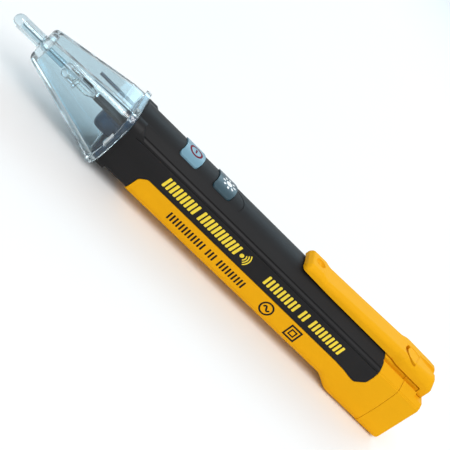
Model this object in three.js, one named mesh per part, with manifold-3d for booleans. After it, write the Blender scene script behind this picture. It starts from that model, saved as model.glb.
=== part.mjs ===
// Pen-shaped non contact voltage tester, 176 mm long.
// Millimetres, +Z up, +X from the sensing tip towards the battery cap; the tester lies on its back
// edge and nose rim at z = 0, buttons and pocket clip on top, with x = 0 at half length.
import * as THREE from "three";
import { mergeVertices } from "three/addons/utils/BufferGeometryUtils.js";
import Module from "manifold-3d";

const wasm = await Module();
wasm.setup();

// ---------------------------------------------------------------- driving dimensions
const GAP = 0.3; // clearance kept between neighbouring pieces
const TIP_X = -88;
const END_X = 88;

// Body section, shared by both housings, the battery cap and the buttons
const BODY_HALF_WIDTH = 10.7;
const BODY_LOW = 3.15;
const SIDE_TOP = 20;
const SHOULDER_HALF_WIDTH = 7.24;
const SHOULDER_TOP = 22.04;
const CREST = 24.15;
const CORNER_RADIUS = 2.6;
const WALL = 1.5;

// Sensing tip and clear nose
const TIP_RADIUS = 2.25;
const TIP_AXIS_Z = 14.66;
const TIP_BORE_RADIUS = 1.1;
const TIP_BORE_START = -85.3;
const NOSE_FRONT_X = -77.2;
const NOSE_FRONT_HALF = 4.8;
const NOSE_FRONT_CORNER = 1.4;
const NOSE_BEND_X = -49;
const NOSE_BEND_HALF = 10.25;
const NOSE_BEND_Z = 12.55;
const NOSE_BASE_X = -44.1;
const NOSE_BASE_HALF = 10.93;
const NOSE_BASE_Z = 11.9;
const NOSE_BASE_CORNER = 4;
const NOSE_WALL = 1.5;
const NOSE_FRONT_WALL = 2.6;
const FLANGE_HALF = 12.18;
const FLANGE_RADIUS = 6.2;
const FLANGE_REAR_X = -42.1;
const GUIDE_WALL = 0.45;
const SNAP_SLOT_LOW = 9.9;
const SNAP_SLOT_TOP = 14.8;
const ANTENNA_RADIUS = 0.55;

// Black upper housing
const COLLAR_FRONT_X = FLANGE_REAR_X + GAP;
const COLLAR_REAR_X = -39.05;
const COLLAR_LOW = 2.1;
const COLLAR_TOP = 22.75;
const COLLAR_RADIUS = 4;
const FRONT_LOW = 3.65;
const SPIGOT_LENGTH = 2.1;
const SPIGOT_WALL = 1.3;
const SPIGOT_CORNER = 3;
const FINGER_FRONT_X = -58.3; // a slim finger beside the lamps
const FINGER_INNER_Y = 4.2;
const FINGER_OUTER_Y = 5.5;
const FINGER_LOW = 17.4;
const FINGER_TOP = 18;
const BOSS_RADIUS = 4.1;
const BOSS_Z = 11.7;
const BOSS_FRONT_X = -50.4;
const BOSS_ROUND = 1.6;
const PARTING_Z = 11.75;

// Yellow lower housing and battery cap
const TRAY_FRONT_X = -30;
const BULGE_START_X = 56.4;
const BULGE_FULL_X = 64.4;
const SEAM_X = 78.4;
const SKIRT_LENGTH = 8;
const SKIRT_WALL = 1.2;
const CAP_REAR_WALL = 2.1;
const CAP_ROOM_TOP = 19.2;

// Pocket clip
const CLIP_END_X = 26.9;
const CLIP_HALF_WIDTH = 5.5;
const CLIP_ROOT_X = 70.5;
const CLIP_ROOT_HALF_WIDTH = 6.4;
const CLIP_SLOT_END_X = 84.1;
const CLIP_REAR_X = 87.3;
const CLIP_END_CORNER = 1.5;
const DIMPLE_X = 31.4;
const DIMPLE_RADIUS = 3.1;
const DIMPLE_DEPTH = 0.9;
const CLIP_END_TOP = 27.2;
const CLIP_CLEARANCE = 0.5;
const CLIP_SEAT_Z = 21.2;
const CHANNEL_INNER = 5.9; // two channels in the body's top, under the edges of the clip's root
const CHANNEL_OUTER = 7.3;
const CHANNEL_FLOOR = 21.5;
const CHANNEL_FRONT_X = 66;

// Buttons
const POWER_X = -21.95;
const TORCH_X = -7.85;
const BUTTON_HALF_LENGTH = 3.75;
const BUTTON_HALF_WIDTH = 5.8;
const BUTTON_END_RADIUS = 19;
const BUTTON_PROUD = 0.45; // how far a button stands out of the arched top
const BUTTON_LIP = 0.8;
const LIP_LOW = 19.8;
const LIP_TOP = 20.5;

// Inside
const BOARD_LOW = 15.7;
const BOARD_TOP = 16.7;
const BOARD_FRONT_X = -40;
const BOARD_REAR_X = 3;
const BOARD_HALF_WIDTH = 8.1;
const SWITCH_TOP = 19;
const BATTERY_RADIUS = 5.25;
const BATTERY_LENGTH = 44.5;
const BATTERY_Z = 10.15;
const BATTERY_FRONT_X = -8.8;
const LED_Y = 3;
const LED_Z = 14.45;
const LED_DOME_X = -67.6;
const LED_BASE_X = -61.5;
const LED_RADIUS = 1.5;
const LED_RIM = 0.4;
const LED_LEG = 0.5;
const LED_LEG_PITCH = 2.54;
const HOLDER_FRONT_X = -55.3;
const HOLDER_HALF_WIDTH = 2.2;
const HOLDER_HALF_HEIGHT = 0.65;
const HOUSING_SCREW_X = -15;
const BOARD_SCREW_X = -36.4;
const BOARD_SCREW_Y = 5.4;
const PILOT_RADIUS = 1.25;
const RIB_FRONT_X = -11.5;
const RIB_REAR_X = -9.9;
const STRIP_LOW = 17.3;
const METAL_SHEET = 0.3;
const STRIP_INNER_Y = 5.2;
const STRIP_OUTER_Y = 6.8;
const REAR_PLATE_X = 85.2;
const PLATE_THICKNESS = 0.4;

// ---------------------------------------------------------------- solids and sections
const FAR = 40; // half size of a cutting block that reaches past the whole part

/** A closed three.js geometry as a manifold-3d solid, its faces turned out. */
function solid(geometry) {
  const bare = geometry.clone();
  bare.deleteAttribute("normal");
  bare.deleteAttribute("uv");
  const merged = mergeVertices(bare, 1e-4);
  const make = (triVerts) =>
    new wasm.Manifold(
      new wasm.Mesh({
        numProp: 3,
        vertProperties: new Float32Array(merged.attributes.position.array),
        triVerts,
      }),
    );
  const triangles = new Uint32Array(merged.index.array);
  const made = make(triangles);
  return made.volume() < 0 ? make(triangles.slice().reverse()) : made;
}

/** A manifold-3d solid as flat-shaded three.js geometry. */
function geometryOf(body) {
  const mesh = body.getMesh();
  const positions = new Float32Array(mesh.numVert * 3);
  for (let i = 0; i < mesh.numVert; i++) {
    const start = i * mesh.numProp;
    positions.set(mesh.vertProperties.subarray(start, start + 3), i * 3);
  }
  const geometry = new THREE.BufferGeometry();
  geometry.setAttribute("position", new THREE.BufferAttribute(positions, 3));
  geometry.setIndex(new THREE.BufferAttribute(new Uint32Array(mesh.triVerts), 1));
  const flat = geometry.toNonIndexed();
  flat.computeVertexNormals();
  return flat;
}

function prism(points, length) {
  const shape = new THREE.Shape(points.map(([a, b]) => new THREE.Vector2(a, b)));
  return new THREE.ExtrudeGeometry(shape, { depth: length, bevelEnabled: false, steps: 1 });
}

/** Extrudes a (y, z) outline along X. */
function prismX(points, x0, x1) {
  const turn = new THREE.Matrix4().makeBasis(
    new THREE.Vector3(0, 1, 0),
    new THREE.Vector3(0, 0, 1),
    new THREE.Vector3(1, 0, 0),
  );
  return solid(prism(points, x1 - x0).applyMatrix4(turn).translate(x0, 0, 0));
}

/** Extrudes an (x, z) outline along Y. */
function prismY(points, y0, y1) {
  const turn = new THREE.Matrix4().makeBasis(
    new THREE.Vector3(1, 0, 0),
    new THREE.Vector3(0, 0, 1),
    new THREE.Vector3(0, -1, 0),
  );
  return solid(prism(points, y1 - y0).applyMatrix4(turn).translate(0, y1, 0));
}

/** Extrudes an (x, y) outline along Z. */
function prismZ(points, z0, z1) {
  return solid(prism(points, z1 - z0).translate(0, 0, z0));
}

function box(x0, x1, y0, y1, z0, z1) {
  const block = new THREE.BoxGeometry(x1 - x0, y1 - y0, z1 - z0);
  return solid(block.translate((x0 + x1) / 2, (y0 + y1) / 2, (z0 + z1) / 2));
}

function rodX(x0, x1, y, z, radius, sides = 20) {
  const rod = new THREE.CylinderGeometry(radius, radius, x1 - x0, sides).rotateZ(-Math.PI / 2);
  return solid(rod.translate((x0 + x1) / 2, y, z));
}

function rodZ(x, y, z0, z1, radius, sides = 20) {
  const rod = new THREE.CylinderGeometry(radius, radius, z1 - z0, sides).rotateX(Math.PI / 2);
  return solid(rod.translate(x, y, (z0 + z1) / 2));
}

/** Turns an (x, radius) profile, which starts and ends on the axis, about a line along X. */
function turnedX(profile, y, z, sides = 20) {
  const points = profile.map(([x, radius]) => new THREE.Vector2(radius, x));
  const lathe = new THREE.LatheGeometry(points, sides).rotateZ(-Math.PI / 2);
  return solid(lathe.translate(0, y, z));
}

/** A square bar between two points. */
function bar(from, to, thickness) {
  const start = new THREE.Vector3(...from);
  const along = new THREE.Vector3(...to).sub(start);
  const block = new THREE.BoxGeometry(along.length(), thickness, thickness);
  const turn = new THREE.Quaternion().setFromUnitVectors(
    new THREE.Vector3(1, 0, 0),
    along.clone().normalize(),
  );
  block.applyQuaternion(turn);
  return solid(block.translate(...start.addScaledVector(along, 0.5).toArray()));
}

/** Joins rings of [x, y, z] points, all with one point count and convex, into a closed solid. */
function loft(rings) {
  const count = rings[0].length;
  const index = [];
  for (let ring = 0; ring + 1 < rings.length; ring++) {
    for (let i = 0; i < count; i++) {
      const a = ring * count + i;
      const b = ring * count + ((i + 1) % count);
      index.push(a, b, a + count, b, b + count, a + count);
    }
  }
  const last = (rings.length - 1) * count;
  for (let i = 1; i + 1 < count; i++) {
    index.push(0, i + 1, i);
    index.push(last, last + i, last + i + 1);
  }
  const geometry = new THREE.BufferGeometry();
  const positions = new Float32Array(rings.flat(2));
  geometry.setAttribute("position", new THREE.BufferAttribute(positions, 3));
  geometry.setIndex(index);
  return solid(geometry);
}

/** Points of an arc about (cy, cz), from one angle to another in degrees. */
function arc(cy, cz, radius, from, to, steps) {
  return Array.from({ length: steps + 1 }, (_, i) => {
    const angle = THREE.MathUtils.degToRad(from + ((to - from) * i) / steps);
    return [cy + radius * Math.cos(angle), cz + radius * Math.sin(angle)];
  });
}

/** Rounded rectangle as (y, z) points, anticlockwise. */
function roundedRect(half, low, high, radius, steps = 5) {
  const side = half - radius;
  return [
    ...arc(side, low + radius, radius, -90, 0, steps),
    ...arc(side, high - radius, radius, 0, 90, steps),
    ...arc(-side, high - radius, radius, 90, 180, steps),
    ...arc(-side, low + radius, radius, 180, 270, steps),
  ];
}

/** The body's (y, z) outline: flat sides, chamfered shoulders and an arched top. */
function bodyOutline(low = BODY_LOW, corner = CORNER_RADIUS) {
  const rise = CREST - SHOULDER_TOP;
  const radius = (SHOULDER_HALF_WIDTH ** 2 + rise ** 2) / (2 * rise);
  const half = THREE.MathUtils.radToDeg(Math.asin(SHOULDER_HALF_WIDTH / radius));
  const side = BODY_HALF_WIDTH - corner;
  return [
    ...arc(side, low + corner, corner, -90, 0, 4),
    [BODY_HALF_WIDTH, SIDE_TOP],
    ...arc(0, CREST - radius, radius, 90 - half, 90 + half, 10),
    [-BODY_HALF_WIDTH, SIDE_TOP],
    ...arc(-side, low + corner, corner, 180, 270, 4),
  ];
}

/** Moves every edge of an anticlockwise outline inwards; a negative distance moves it outwards. */
function inset(points, distance) {
  const normalOf = ([a, b], [c, d]) => {
    const length = Math.hypot(c - a, d - b);
    return [(d - b) / length, (a - c) / length];
  };
  return points.map((point, i) => {
    const before = normalOf(points.at(i - 1), point);
    const after = normalOf(point, points[(i + 1) % points.length]);
    const scale = -distance / (1 + before[0] * after[0] + before[1] * after[1]);
    return [
      point[0] + scale * (before[0] + after[0]),
      point[1] + scale * (before[1] + after[1]),
    ];
  });
}

const BODY = bodyOutline();
const BODY_WITH_BULGE = bodyOutline(0);
const CAVITY = inset(BODY, WALL);
const { lerp, smoothstep } = THREE.MathUtils;

/** The side view of the black housing, whose edge is the parting line with the yellow one. */
const BLACK_SIDE_VIEW = [
  [-FAR - 10, -FAR],
  [TRAY_FRONT_X - GAP, -FAR],
  [TRAY_FRONT_X - GAP, 4.8],
  [TRAY_FRONT_X + 0.3, 9.7],
  [TRAY_FRONT_X + 2.6, PARTING_Z],
  [58, PARTING_Z - 0.2],
  [62, PARTING_Z - 0.5],
  [64.6, 10.8],
  [66.2, 10.75],
  [68.9, 13.7],
  [68.95, 16.2],
  [68.8, 18.5],
  [68.4, 20.5],
  [67.8, 22.3],
  [66.6, 23.4],
  [65.6, CREST],
  [65.6, FAR],
  [-FAR - 10, FAR],
];

// ---------------------------------------------------------------- nose
function noseRing(x, half, centreZ, radius) {
  const outline = roundedRect(half, centreZ - half, centreZ + half, radius);
  return outline.map(([y, z]) => [x, y, z]);
}

/** Half size, centre and corner radius of the nose at x: a pyramid whose last stretch is flatter. */
function noseAt(x) {
  const share = (x - NOSE_FRONT_X) / (NOSE_BASE_X - NOSE_FRONT_X);
  const radius = lerp(NOSE_FRONT_CORNER, NOSE_BASE_CORNER, share);
  if (x < NOSE_BEND_X) {
    const along = (x - NOSE_FRONT_X) / (NOSE_BEND_X - NOSE_FRONT_X);
    return {
      half: lerp(NOSE_FRONT_HALF, NOSE_BEND_HALF, along),
      centreZ: lerp(TIP_AXIS_Z, NOSE_BEND_Z, along),
      radius,
    };
  }
  const along = (x - NOSE_BEND_X) / (NOSE_BASE_X - NOSE_BEND_X);
  return {
    half: lerp(NOSE_BEND_HALF, NOSE_BASE_HALF, along),
    centreZ: lerp(NOSE_BEND_Z, NOSE_BASE_Z, along),
    radius,
  };
}

function noseCone() {
  const outerRings = [
    [NOSE_FRONT_X, 0.9],
    [NOSE_FRONT_X + 0.35, 0.35],
    [NOSE_FRONT_X + 1.1, 0],
    [NOSE_BEND_X, 0],
    [NOSE_BASE_X, 0],
  ].map(([x, roundOff]) => {
    const { half, centreZ, radius } = noseAt(x);
    return noseRing(x, half - roundOff, centreZ, radius);
  });
  const innerStations = [
    NOSE_FRONT_X + NOSE_FRONT_WALL,
    NOSE_BEND_X,
    NOSE_BASE_X,
    FLANGE_REAR_X + 1,
  ];
  const innerRings = innerStations.map((x) => {
    const { half, centreZ, radius } = noseAt(Math.min(x, NOSE_BASE_X));
    return noseRing(x, half - NOSE_WALL, centreZ, radius - 0.6);
  });
  const flangeOutline = roundedRect(FLANGE_HALF, 0, 2 * FLANGE_HALF, FLANGE_RADIUS);
  const tipProfile = [
    ...arc(TIP_X + TIP_RADIUS, 0, TIP_RADIUS, 180, 90, 6),
    [NOSE_FRONT_X + 1, TIP_RADIUS],
    [NOSE_FRONT_X + 1, 0],
  ];
  const guideRadius = TIP_BORE_RADIUS + GUIDE_WALL;
  const guide = rodX(NOSE_FRONT_X + 2, LED_DOME_X - GAP, 0, TIP_AXIS_Z, guideRadius);
  const bore = rodX(TIP_BORE_START, NOSE_FRONT_X + 12, 0, TIP_AXIS_Z, TIP_BORE_RADIUS);
  const snapSlots = box(
    NOSE_BASE_X - 0.6,
    NOSE_BASE_X + 0.4,
    -FAR,
    FAR,
    SNAP_SLOT_LOW,
    SNAP_SLOT_TOP,
  );
  return loft(outerRings)
    .add(prismX(flangeOutline, NOSE_BASE_X, FLANGE_REAR_X))
    .add(turnedX(tipProfile, 0, TIP_AXIS_Z))
    .subtract(loft(innerRings))
    .subtract(snapSlots)
    .add(guide)
    .subtract(bore);
}

function antennaRod() {
  const start = TIP_BORE_START + 0.4;
  return rodX(start, HOLDER_FRONT_X - 0.4, 0, TIP_AXIS_Z, ANTENNA_RADIUS, 12);
}

function indicatorLed(side) {
  const y = side * LED_Y;
  const profile = [
    ...arc(LED_DOME_X + LED_RADIUS, 0, LED_RADIUS, 180, 90, 5),
    [LED_BASE_X - 1, LED_RADIUS],
    [LED_BASE_X - 1, LED_RADIUS + LED_RIM],
    [LED_BASE_X, LED_RADIUS + LED_RIM],
    [LED_BASE_X, 0],
  ];
  const leg = LED_LEG / 2;
  const bendX = LED_BASE_X + 4;
  const endX = HOLDER_FRONT_X - GAP;
  let led = turnedX(profile, y, LED_Z);
  for (const [share, endY] of [[-0.5, 1.3], [0.5, 2.05]]) {
    const legY = side * (LED_Y + share * LED_LEG_PITCH);
    const tip = [endX, side * endY, TIP_AXIS_Z];
    led = led
      .add(box(LED_BASE_X - 0.5, bendX, legY - leg, legY + leg, LED_Z - leg, LED_Z + leg))
      .add(bar([bendX - 0.2, legY, LED_Z], tip, LED_LEG));
  }
  return led;
}

// ---------------------------------------------------------------- housings
function bossProfile() {
  return [
    [BOSS_FRONT_X, 0],
    ...arc(BOSS_FRONT_X + BOSS_ROUND, BOSS_RADIUS - BOSS_ROUND, BOSS_ROUND, 180, 90, 4),
    [COLLAR_FRONT_X + 1, BOSS_RADIUS],
    [COLLAR_FRONT_X + 1, 0],
  ];
}

/** A square frame on the collar's front face that the nose slides over. */
function noseSpigot() {
  const start = COLLAR_FRONT_X - SPIGOT_LENGTH;
  const end = COLLAR_FRONT_X + 0.5;
  const half = NOSE_BASE_HALF - NOSE_WALL - GAP;
  const outline = (shrink) => {
    const size = half - shrink;
    const corner = SPIGOT_CORNER - shrink / 2;
    return roundedRect(size, NOSE_BASE_Z - size, NOSE_BASE_Z + size, corner);
  };
  return prismX(outline(0), start, end).subtract(prismX(outline(SPIGOT_WALL), start - 1, end + 1));
}

/** Plan outline of a button: both ends are arcs that bulge towards the battery cap. */
function buttonPlan(x, halfLength, halfWidth) {
  const sweep = THREE.MathUtils.radToDeg(Math.asin(halfWidth / BUTTON_END_RADIUS));
  const rear = arc(x + halfLength - BUTTON_END_RADIUS, 0, BUTTON_END_RADIUS, -sweep, sweep, 8);
  const front = arc(x - halfLength - BUTTON_END_RADIUS, 0, BUTTON_END_RADIUS, sweep, -sweep, 8);
  return [...rear, ...front];
}

function buttonWindow(x) {
  const plan = buttonPlan(x, BUTTON_HALF_LENGTH + GAP, BUTTON_HALF_WIDTH + GAP);
  return prismZ(plan, LIP_TOP, FAR);
}

function screwPost(x, y, low, radius, pilot) {
  const ceiling = CREST - 1;
  return rodZ(x, y, low, ceiling, radius, 16).subtract(rodZ(x, y, low - 1, ceiling - 2, pilot, 12));
}

function upperHousing() {
  const collarOutline = roundedRect(BODY_HALF_WIDTH, COLLAR_LOW, COLLAR_TOP, COLLAR_RADIUS);
  const frontOutline = bodyOutline(FRONT_LOW);
  const frontCavity = inset(frontOutline, WALL);
  const slotHalf = HOLDER_HALF_WIDTH + GAP;
  const slotLow = TIP_AXIS_Z - HOLDER_HALF_HEIGHT - GAP;
  const slotTop = TIP_AXIS_Z + HOLDER_HALF_HEIGHT + GAP;
  const holderSlot = box(BOSS_FRONT_X - 1, BOARD_FRONT_X + 5, -slotHalf, slotHalf, slotLow, slotTop);
  const bossFlat = box(BOSS_FRONT_X - 1, COLLAR_FRONT_X, -FAR, FAR, slotLow, FAR);
  const finger = box(
    FINGER_FRONT_X,
    COLLAR_FRONT_X + 1,
    FINGER_INNER_Y,
    FINGER_OUTER_Y,
    FINGER_LOW,
    FINGER_TOP,
  );
  let shell = prismX(collarOutline, COLLAR_FRONT_X, COLLAR_REAR_X)
    .add(prismX(frontOutline, COLLAR_FRONT_X + 1, TRAY_FRONT_X + 5))
    .add(prismX(BODY, TRAY_FRONT_X, 70))
    .intersect(prismY(BLACK_SIDE_VIEW, -FAR, FAR))
    .subtract(prismX(frontCavity, COLLAR_FRONT_X + WALL, TRAY_FRONT_X + 5))
    .subtract(prismX(CAVITY, TRAY_FRONT_X - 1, 75));
  const posts = [
    screwPost(HOUSING_SCREW_X, 0, 7, 1.7, PILOT_RADIUS),
    screwPost(BOARD_SCREW_X, BOARD_SCREW_Y, BOARD_TOP + GAP, 1.9, 1.1),
    screwPost(BOARD_SCREW_X, -BOARD_SCREW_Y, BOARD_TOP + GAP, 1.9, 1.1),
  ];
  const envelope = prismX(inset(BODY, 0.5), COLLAR_FRONT_X, 60);
  for (const post of posts) shell = shell.add(post.intersect(envelope));
  shell = shell
    .add(turnedX(bossProfile(), 0, BOSS_Z).subtract(bossFlat))
    .add(noseSpigot())
    .add(finger)
    .subtract(holderSlot);
  for (const x of [POWER_X, TORCH_X]) shell = shell.subtract(buttonWindow(x));
  return shell;
}

/** Two channels in the body's top that free the edges of the clip's root. */
function clipChannels() {
  const side = (y0, y1) => box(CHANNEL_FRONT_X, CLIP_SLOT_END_X, y0, y1, CHANNEL_FLOOR, FAR);
  return side(-CHANNEL_OUTER, -CHANNEL_INNER).add(side(CHANNEL_INNER, CHANNEL_OUTER));
}

function lowerHousing() {
  const steps = 8;
  const ramp = Array.from({ length: steps + 1 }, (_, i) =>
    lerp(BULGE_START_X, BULGE_FULL_X, i / steps),
  );
  const rings = [TRAY_FRONT_X, ...ramp, SEAM_X - GAP / 2].map((x) => {
    const low = BODY_LOW * (1 - smoothstep(x, BULGE_START_X, BULGE_FULL_X));
    return bodyOutline(low).map(([y, z]) => [x, y, z]);
  });
  const contactRib = box(RIB_FRONT_X, RIB_REAR_X, -8.7, 8.7, 0, BOARD_LOW - 0.6);
  const screwBoss = rodZ(HOUSING_SCREW_X, 0, BODY_LOW + 1, 6.7, 3.2, 20);
  return loft(rings)
    .subtract(clipChannels())
    .subtract(prismY(inset(BLACK_SIDE_VIEW, -GAP), -FAR, FAR))
    .subtract(prismX(CAVITY, TRAY_FRONT_X + WALL, SEAM_X + 1))
    .add(contactRib.intersect(prismX(inset(BODY, 1), -FAR, 0)))
    .add(screwBoss)
    .subtract(rodZ(HOUSING_SCREW_X, 0, -1, 4.9, 2.3, 20))
    .subtract(rodZ(HOUSING_SCREW_X, 0, -1, FAR, PILOT_RADIUS, 16));
}

function batteryCap() {
  const sideView = [
    [SEAM_X + GAP / 2, 0],
    [END_X - 2.6, 0],
    [END_X - 0.9, 0.7],
    [END_X - 0.15, 2],
    [END_X, 4],
    [END_X, 15],
    [END_X - 0.35, 18.2],
    [END_X - 1.3, 21.5],
    [END_X - 2.4, CREST],
    [END_X - 2.4, FAR],
    [SEAM_X + GAP / 2, FAR],
  ];
  const inside = inset(bodyOutline(BODY_LOW, 3.8), WALL + GAP + SKIRT_WALL);
  const front = SEAM_X - SKIRT_LENGTH;
  const skirt = prismX(inset(CAVITY, GAP), front, SEAM_X + 1);
  const cavity = prismX(inside, front - 1, END_X - 5.8);
  const deepCavity = prismX(inside, front - 1, END_X - CAP_REAR_WALL).intersect(
    box(0, FAR * 3, -FAR, FAR, 0, CAP_ROOM_TOP),
  );
  const batteryRoom = rodX(front - 1, 81.5, 0, BATTERY_Z, BATTERY_RADIUS + 0.4, 28);
  const clipSeat = box(CLIP_SLOT_END_X - GAP, FAR * 3, -FAR, FAR, CLIP_SEAT_Z - GAP, FAR);
  return prismX(BODY_WITH_BULGE, SEAM_X + GAP / 2, END_X)
    .intersect(prismY(sideView, -FAR, FAR))
    .subtract(clipChannels())
    .add(skirt)
    .subtract(cavity)
    .subtract(deepCavity)
    .subtract(batteryRoom)
    .subtract(clipSeat);
}

function pocketClip() {
  const sideView = [
    [CLIP_END_X + 0.3, 24],
    [40, 23.6],
    [66, 23.4],
    [CLIP_ROOT_X + 2, 22.9],
    [CLIP_SLOT_END_X, 22.8],
    [CLIP_SLOT_END_X, CLIP_SEAT_Z],
    [CLIP_REAR_X - 0.3, CLIP_SEAT_Z],
    [CLIP_REAR_X, 22.4],
    [CLIP_REAR_X - 0.2, 26.3],
    [CLIP_REAR_X - 0.6, 27.8],
    [CLIP_REAR_X - 1.4, 28.4],
    [CLIP_ROOT_X + 3.5, 27.95],
    [CLIP_ROOT_X, 27.7],
    [50, 27.05],
    [37.2, 26.55],
    [35, 27],
    [33.4, CLIP_END_TOP],
    [CLIP_END_X + 1.5, CLIP_END_TOP - 0.1],
    [CLIP_END_X + 0.4, 26.6],
    [CLIP_END_X, 25.6],
  ];
  const planOutline = [
    ...arc(
      CLIP_END_X + CLIP_END_CORNER,
      -CLIP_HALF_WIDTH + CLIP_END_CORNER,
      CLIP_END_CORNER,
      180,
      270,
      3,
    ),
    [CLIP_ROOT_X - 1, -CLIP_HALF_WIDTH],
    [CLIP_ROOT_X + 0.8, -CLIP_ROOT_HALF_WIDTH + 0.4],
    [CLIP_ROOT_X + 2, -CLIP_ROOT_HALF_WIDTH],
    [CLIP_REAR_X - 1.6, -CLIP_ROOT_HALF_WIDTH],
    [CLIP_REAR_X - 0.4, -CLIP_ROOT_HALF_WIDTH + 0.8],
    [CLIP_REAR_X, -CLIP_ROOT_HALF_WIDTH + 2.2],
  ];
  const mirrored = planOutline.map(([x, y]) => [x, -y]).reverse();
  const ball = new THREE.SphereGeometry(DIMPLE_RADIUS, 20, 12);
  const dimple = solid(ball.translate(DIMPLE_X, 0, CLIP_END_TOP + DIMPLE_RADIUS - DIMPLE_DEPTH));
  return prismY(sideView, -FAR, FAR)
    .intersect(prismZ([...planOutline, ...mirrored], 0, FAR))
    .subtract(prismX(inset(BODY, -CLIP_CLEARANCE), 0, CLIP_SLOT_END_X))
    .subtract(dimple);
}

function pushButton(x) {
  const plan = buttonPlan(x, BUTTON_HALF_LENGTH, BUTTON_HALF_WIDTH);
  const lipPlan = buttonPlan(x, BUTTON_HALF_LENGTH + BUTTON_LIP, BUTTON_HALF_WIDTH + BUTTON_LIP);
  const top = prismZ(plan, LIP_TOP - 0.1, FAR);
  const lip = prismZ(lipPlan, LIP_LOW, LIP_TOP - 0.1);
  const skin = prismX(inset(BODY, -BUTTON_PROUD), x - 8, x + 8);
  return top.intersect(skin).add(lip.intersect(prismX(inset(CAVITY, GAP), x - 8, x + 8)));
}

// ---------------------------------------------------------------- electronics and batteries
function circuitBoard() {
  const holes = [
    [HOUSING_SCREW_X, 0, 2.1],
    [BOARD_SCREW_X, BOARD_SCREW_Y, 1.15],
    [BOARD_SCREW_X, -BOARD_SCREW_Y, 1.15],
  ];
  const half = BOARD_HALF_WIDTH;
  let board = box(BOARD_FRONT_X, BOARD_REAR_X, -half, half, BOARD_LOW, BOARD_TOP);
  for (const [x, y, radius] of holes) board = board.subtract(rodZ(x, y, 0, FAR, radius, 16));
  return board;
}

function ledHolder() {
  const half = HOLDER_HALF_WIDTH;
  const low = TIP_AXIS_Z - HOLDER_HALF_HEIGHT;
  const high = TIP_AXIS_Z + HOLDER_HALF_HEIGHT;
  return box(HOLDER_FRONT_X, BOARD_FRONT_X - GAP, -half, half, low, high);
}

function tactSwitch(x) {
  const low = BOARD_TOP + GAP;
  const square = box(x - 3, x + 3, -3, 3, low, SWITCH_TOP - 0.7);
  return square.add(rodZ(x, 0, low, SWITCH_TOP, 1.6, 16));
}

function detectorChip() {
  const low = BOARD_TOP + GAP;
  let chip = box(-33.5, -28.5, -2, 2, low + 0.2, low + 1.6);
  for (let lead = 0; lead < 4; lead++) {
    const x = -32.9 + lead * 1.27;
    chip = chip.add(box(x - 0.2, x + 0.2, -3, 3, low, low + 0.7));
  }
  return chip;
}

function capacitor() {
  const low = BOARD_TOP + GAP;
  return rodZ(-32.5, 6, low, low + 3.2, 1.6, 16).add(box(-34.3, -30.7, 4.2, 7.8, low, low + 0.4));
}

function buzzer() {
  const top = BOARD_LOW - GAP;
  const can = rodZ(-29.5, 0, top - 3.6, top, 4.6, 28);
  return can.subtract(rodZ(-29.5, 0, top - 5, top - 2.6, 0.9, 12));
}

function battery(x0) {
  const x1 = x0 + BATTERY_LENGTH;
  const profile = [
    [x0, 0],
    [x0, 1.9],
    [x0 + 0.8, 1.9],
    [x0 + 0.8, BATTERY_RADIUS - 0.5],
    [x0 + 1.2, BATTERY_RADIUS],
    [x1 - 0.3, BATTERY_RADIUS],
    [x1, BATTERY_RADIUS - 0.4],
    [x1, 0],
  ];
  return turnedX(profile, 0, BATTERY_Z, 28);
}

function frontContact() {
  const frontX = RIB_REAR_X + GAP;
  const rearX = frontX + PLATE_THICKNESS;
  const plate = box(frontX, rearX, -4, 4, BATTERY_Z - 4.5, BATTERY_Z + 5);
  const tab = box(frontX, rearX, -1, 1, BATTERY_Z + 4, BOARD_LOW - GAP);
  return plate.add(tab);
}

/** Cap contact: a plate with a coil spring on the battery and a finger on the contact strip. */
function rearContact() {
  const plateX = REAR_PLATE_X;
  const plateRearX = plateX + PLATE_THICKNESS;
  const stripTop = STRIP_LOW + METAL_SHEET;
  const springStart = BATTERY_FRONT_X + 2 * BATTERY_LENGTH + 0.6;
  const turns = 3;
  const stepsPerTurn = 14;
  const points = Array.from({ length: turns * stepsPerTurn + 1 }, (_, i) => {
    const share = i / (turns * stepsPerTurn);
    const angle = share * turns * 2 * Math.PI;
    const radius = 2.6 + 1.2 * share;
    const x = springStart + share * (plateX + 0.2 - springStart);
    return new THREE.Vector3(
      x,
      radius * Math.cos(angle),
      BATTERY_Z + radius * Math.sin(angle),
    );
  });
  const wire = new THREE.Shape();
  wire.absarc(0, 0, 0.35, 0, 2 * Math.PI);
  const coil = new THREE.ExtrudeGeometry(wire, {
    extrudePath: new THREE.CatmullRomCurve3(points),
    steps: turns * stepsPerTurn,
    curveSegments: 3,
    bevelEnabled: false,
  });
  return solid(coil)
    .add(box(plateX, plateRearX, -4.4, 4.4, BATTERY_Z - 3.6, BATTERY_Z + 4.6))
    .add(box(plateX, plateRearX, 3, STRIP_OUTER_Y, BATTERY_Z + 3, stripTop + 0.7))
    .add(box(76.6, plateX + 0.2, STRIP_INNER_Y, STRIP_OUTER_Y, stripTop + 0.4, stripTop + 0.7));
}

function contactStrip() {
  return box(-1, 78, STRIP_INNER_Y, STRIP_OUTER_Y, STRIP_LOW, STRIP_LOW + METAL_SHEET);
}

function screw(x, y, headLow, headHigh, headRadius, tipZ, shankRadius) {
  return rodZ(x, y, headLow, headHigh, headRadius, 20)
    .add(rodZ(x, y, headLow, tipZ, shankRadius, 14))
    .subtract(box(x - 1.1, x + 1.1, y - 0.2, y + 0.2, headLow - 1, headLow + 0.5))
    .subtract(box(x - 0.2, x + 0.2, y - 1.1, y + 1.1, headLow - 1, headLow + 0.5));
}

// ---------------------------------------------------------------- materials and assembly
const finish = (color, roughness, metalness = 0, extra = {}) => () =>
  new THREE.MeshStandardMaterial({ color, roughness, metalness, ...extra });

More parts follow.
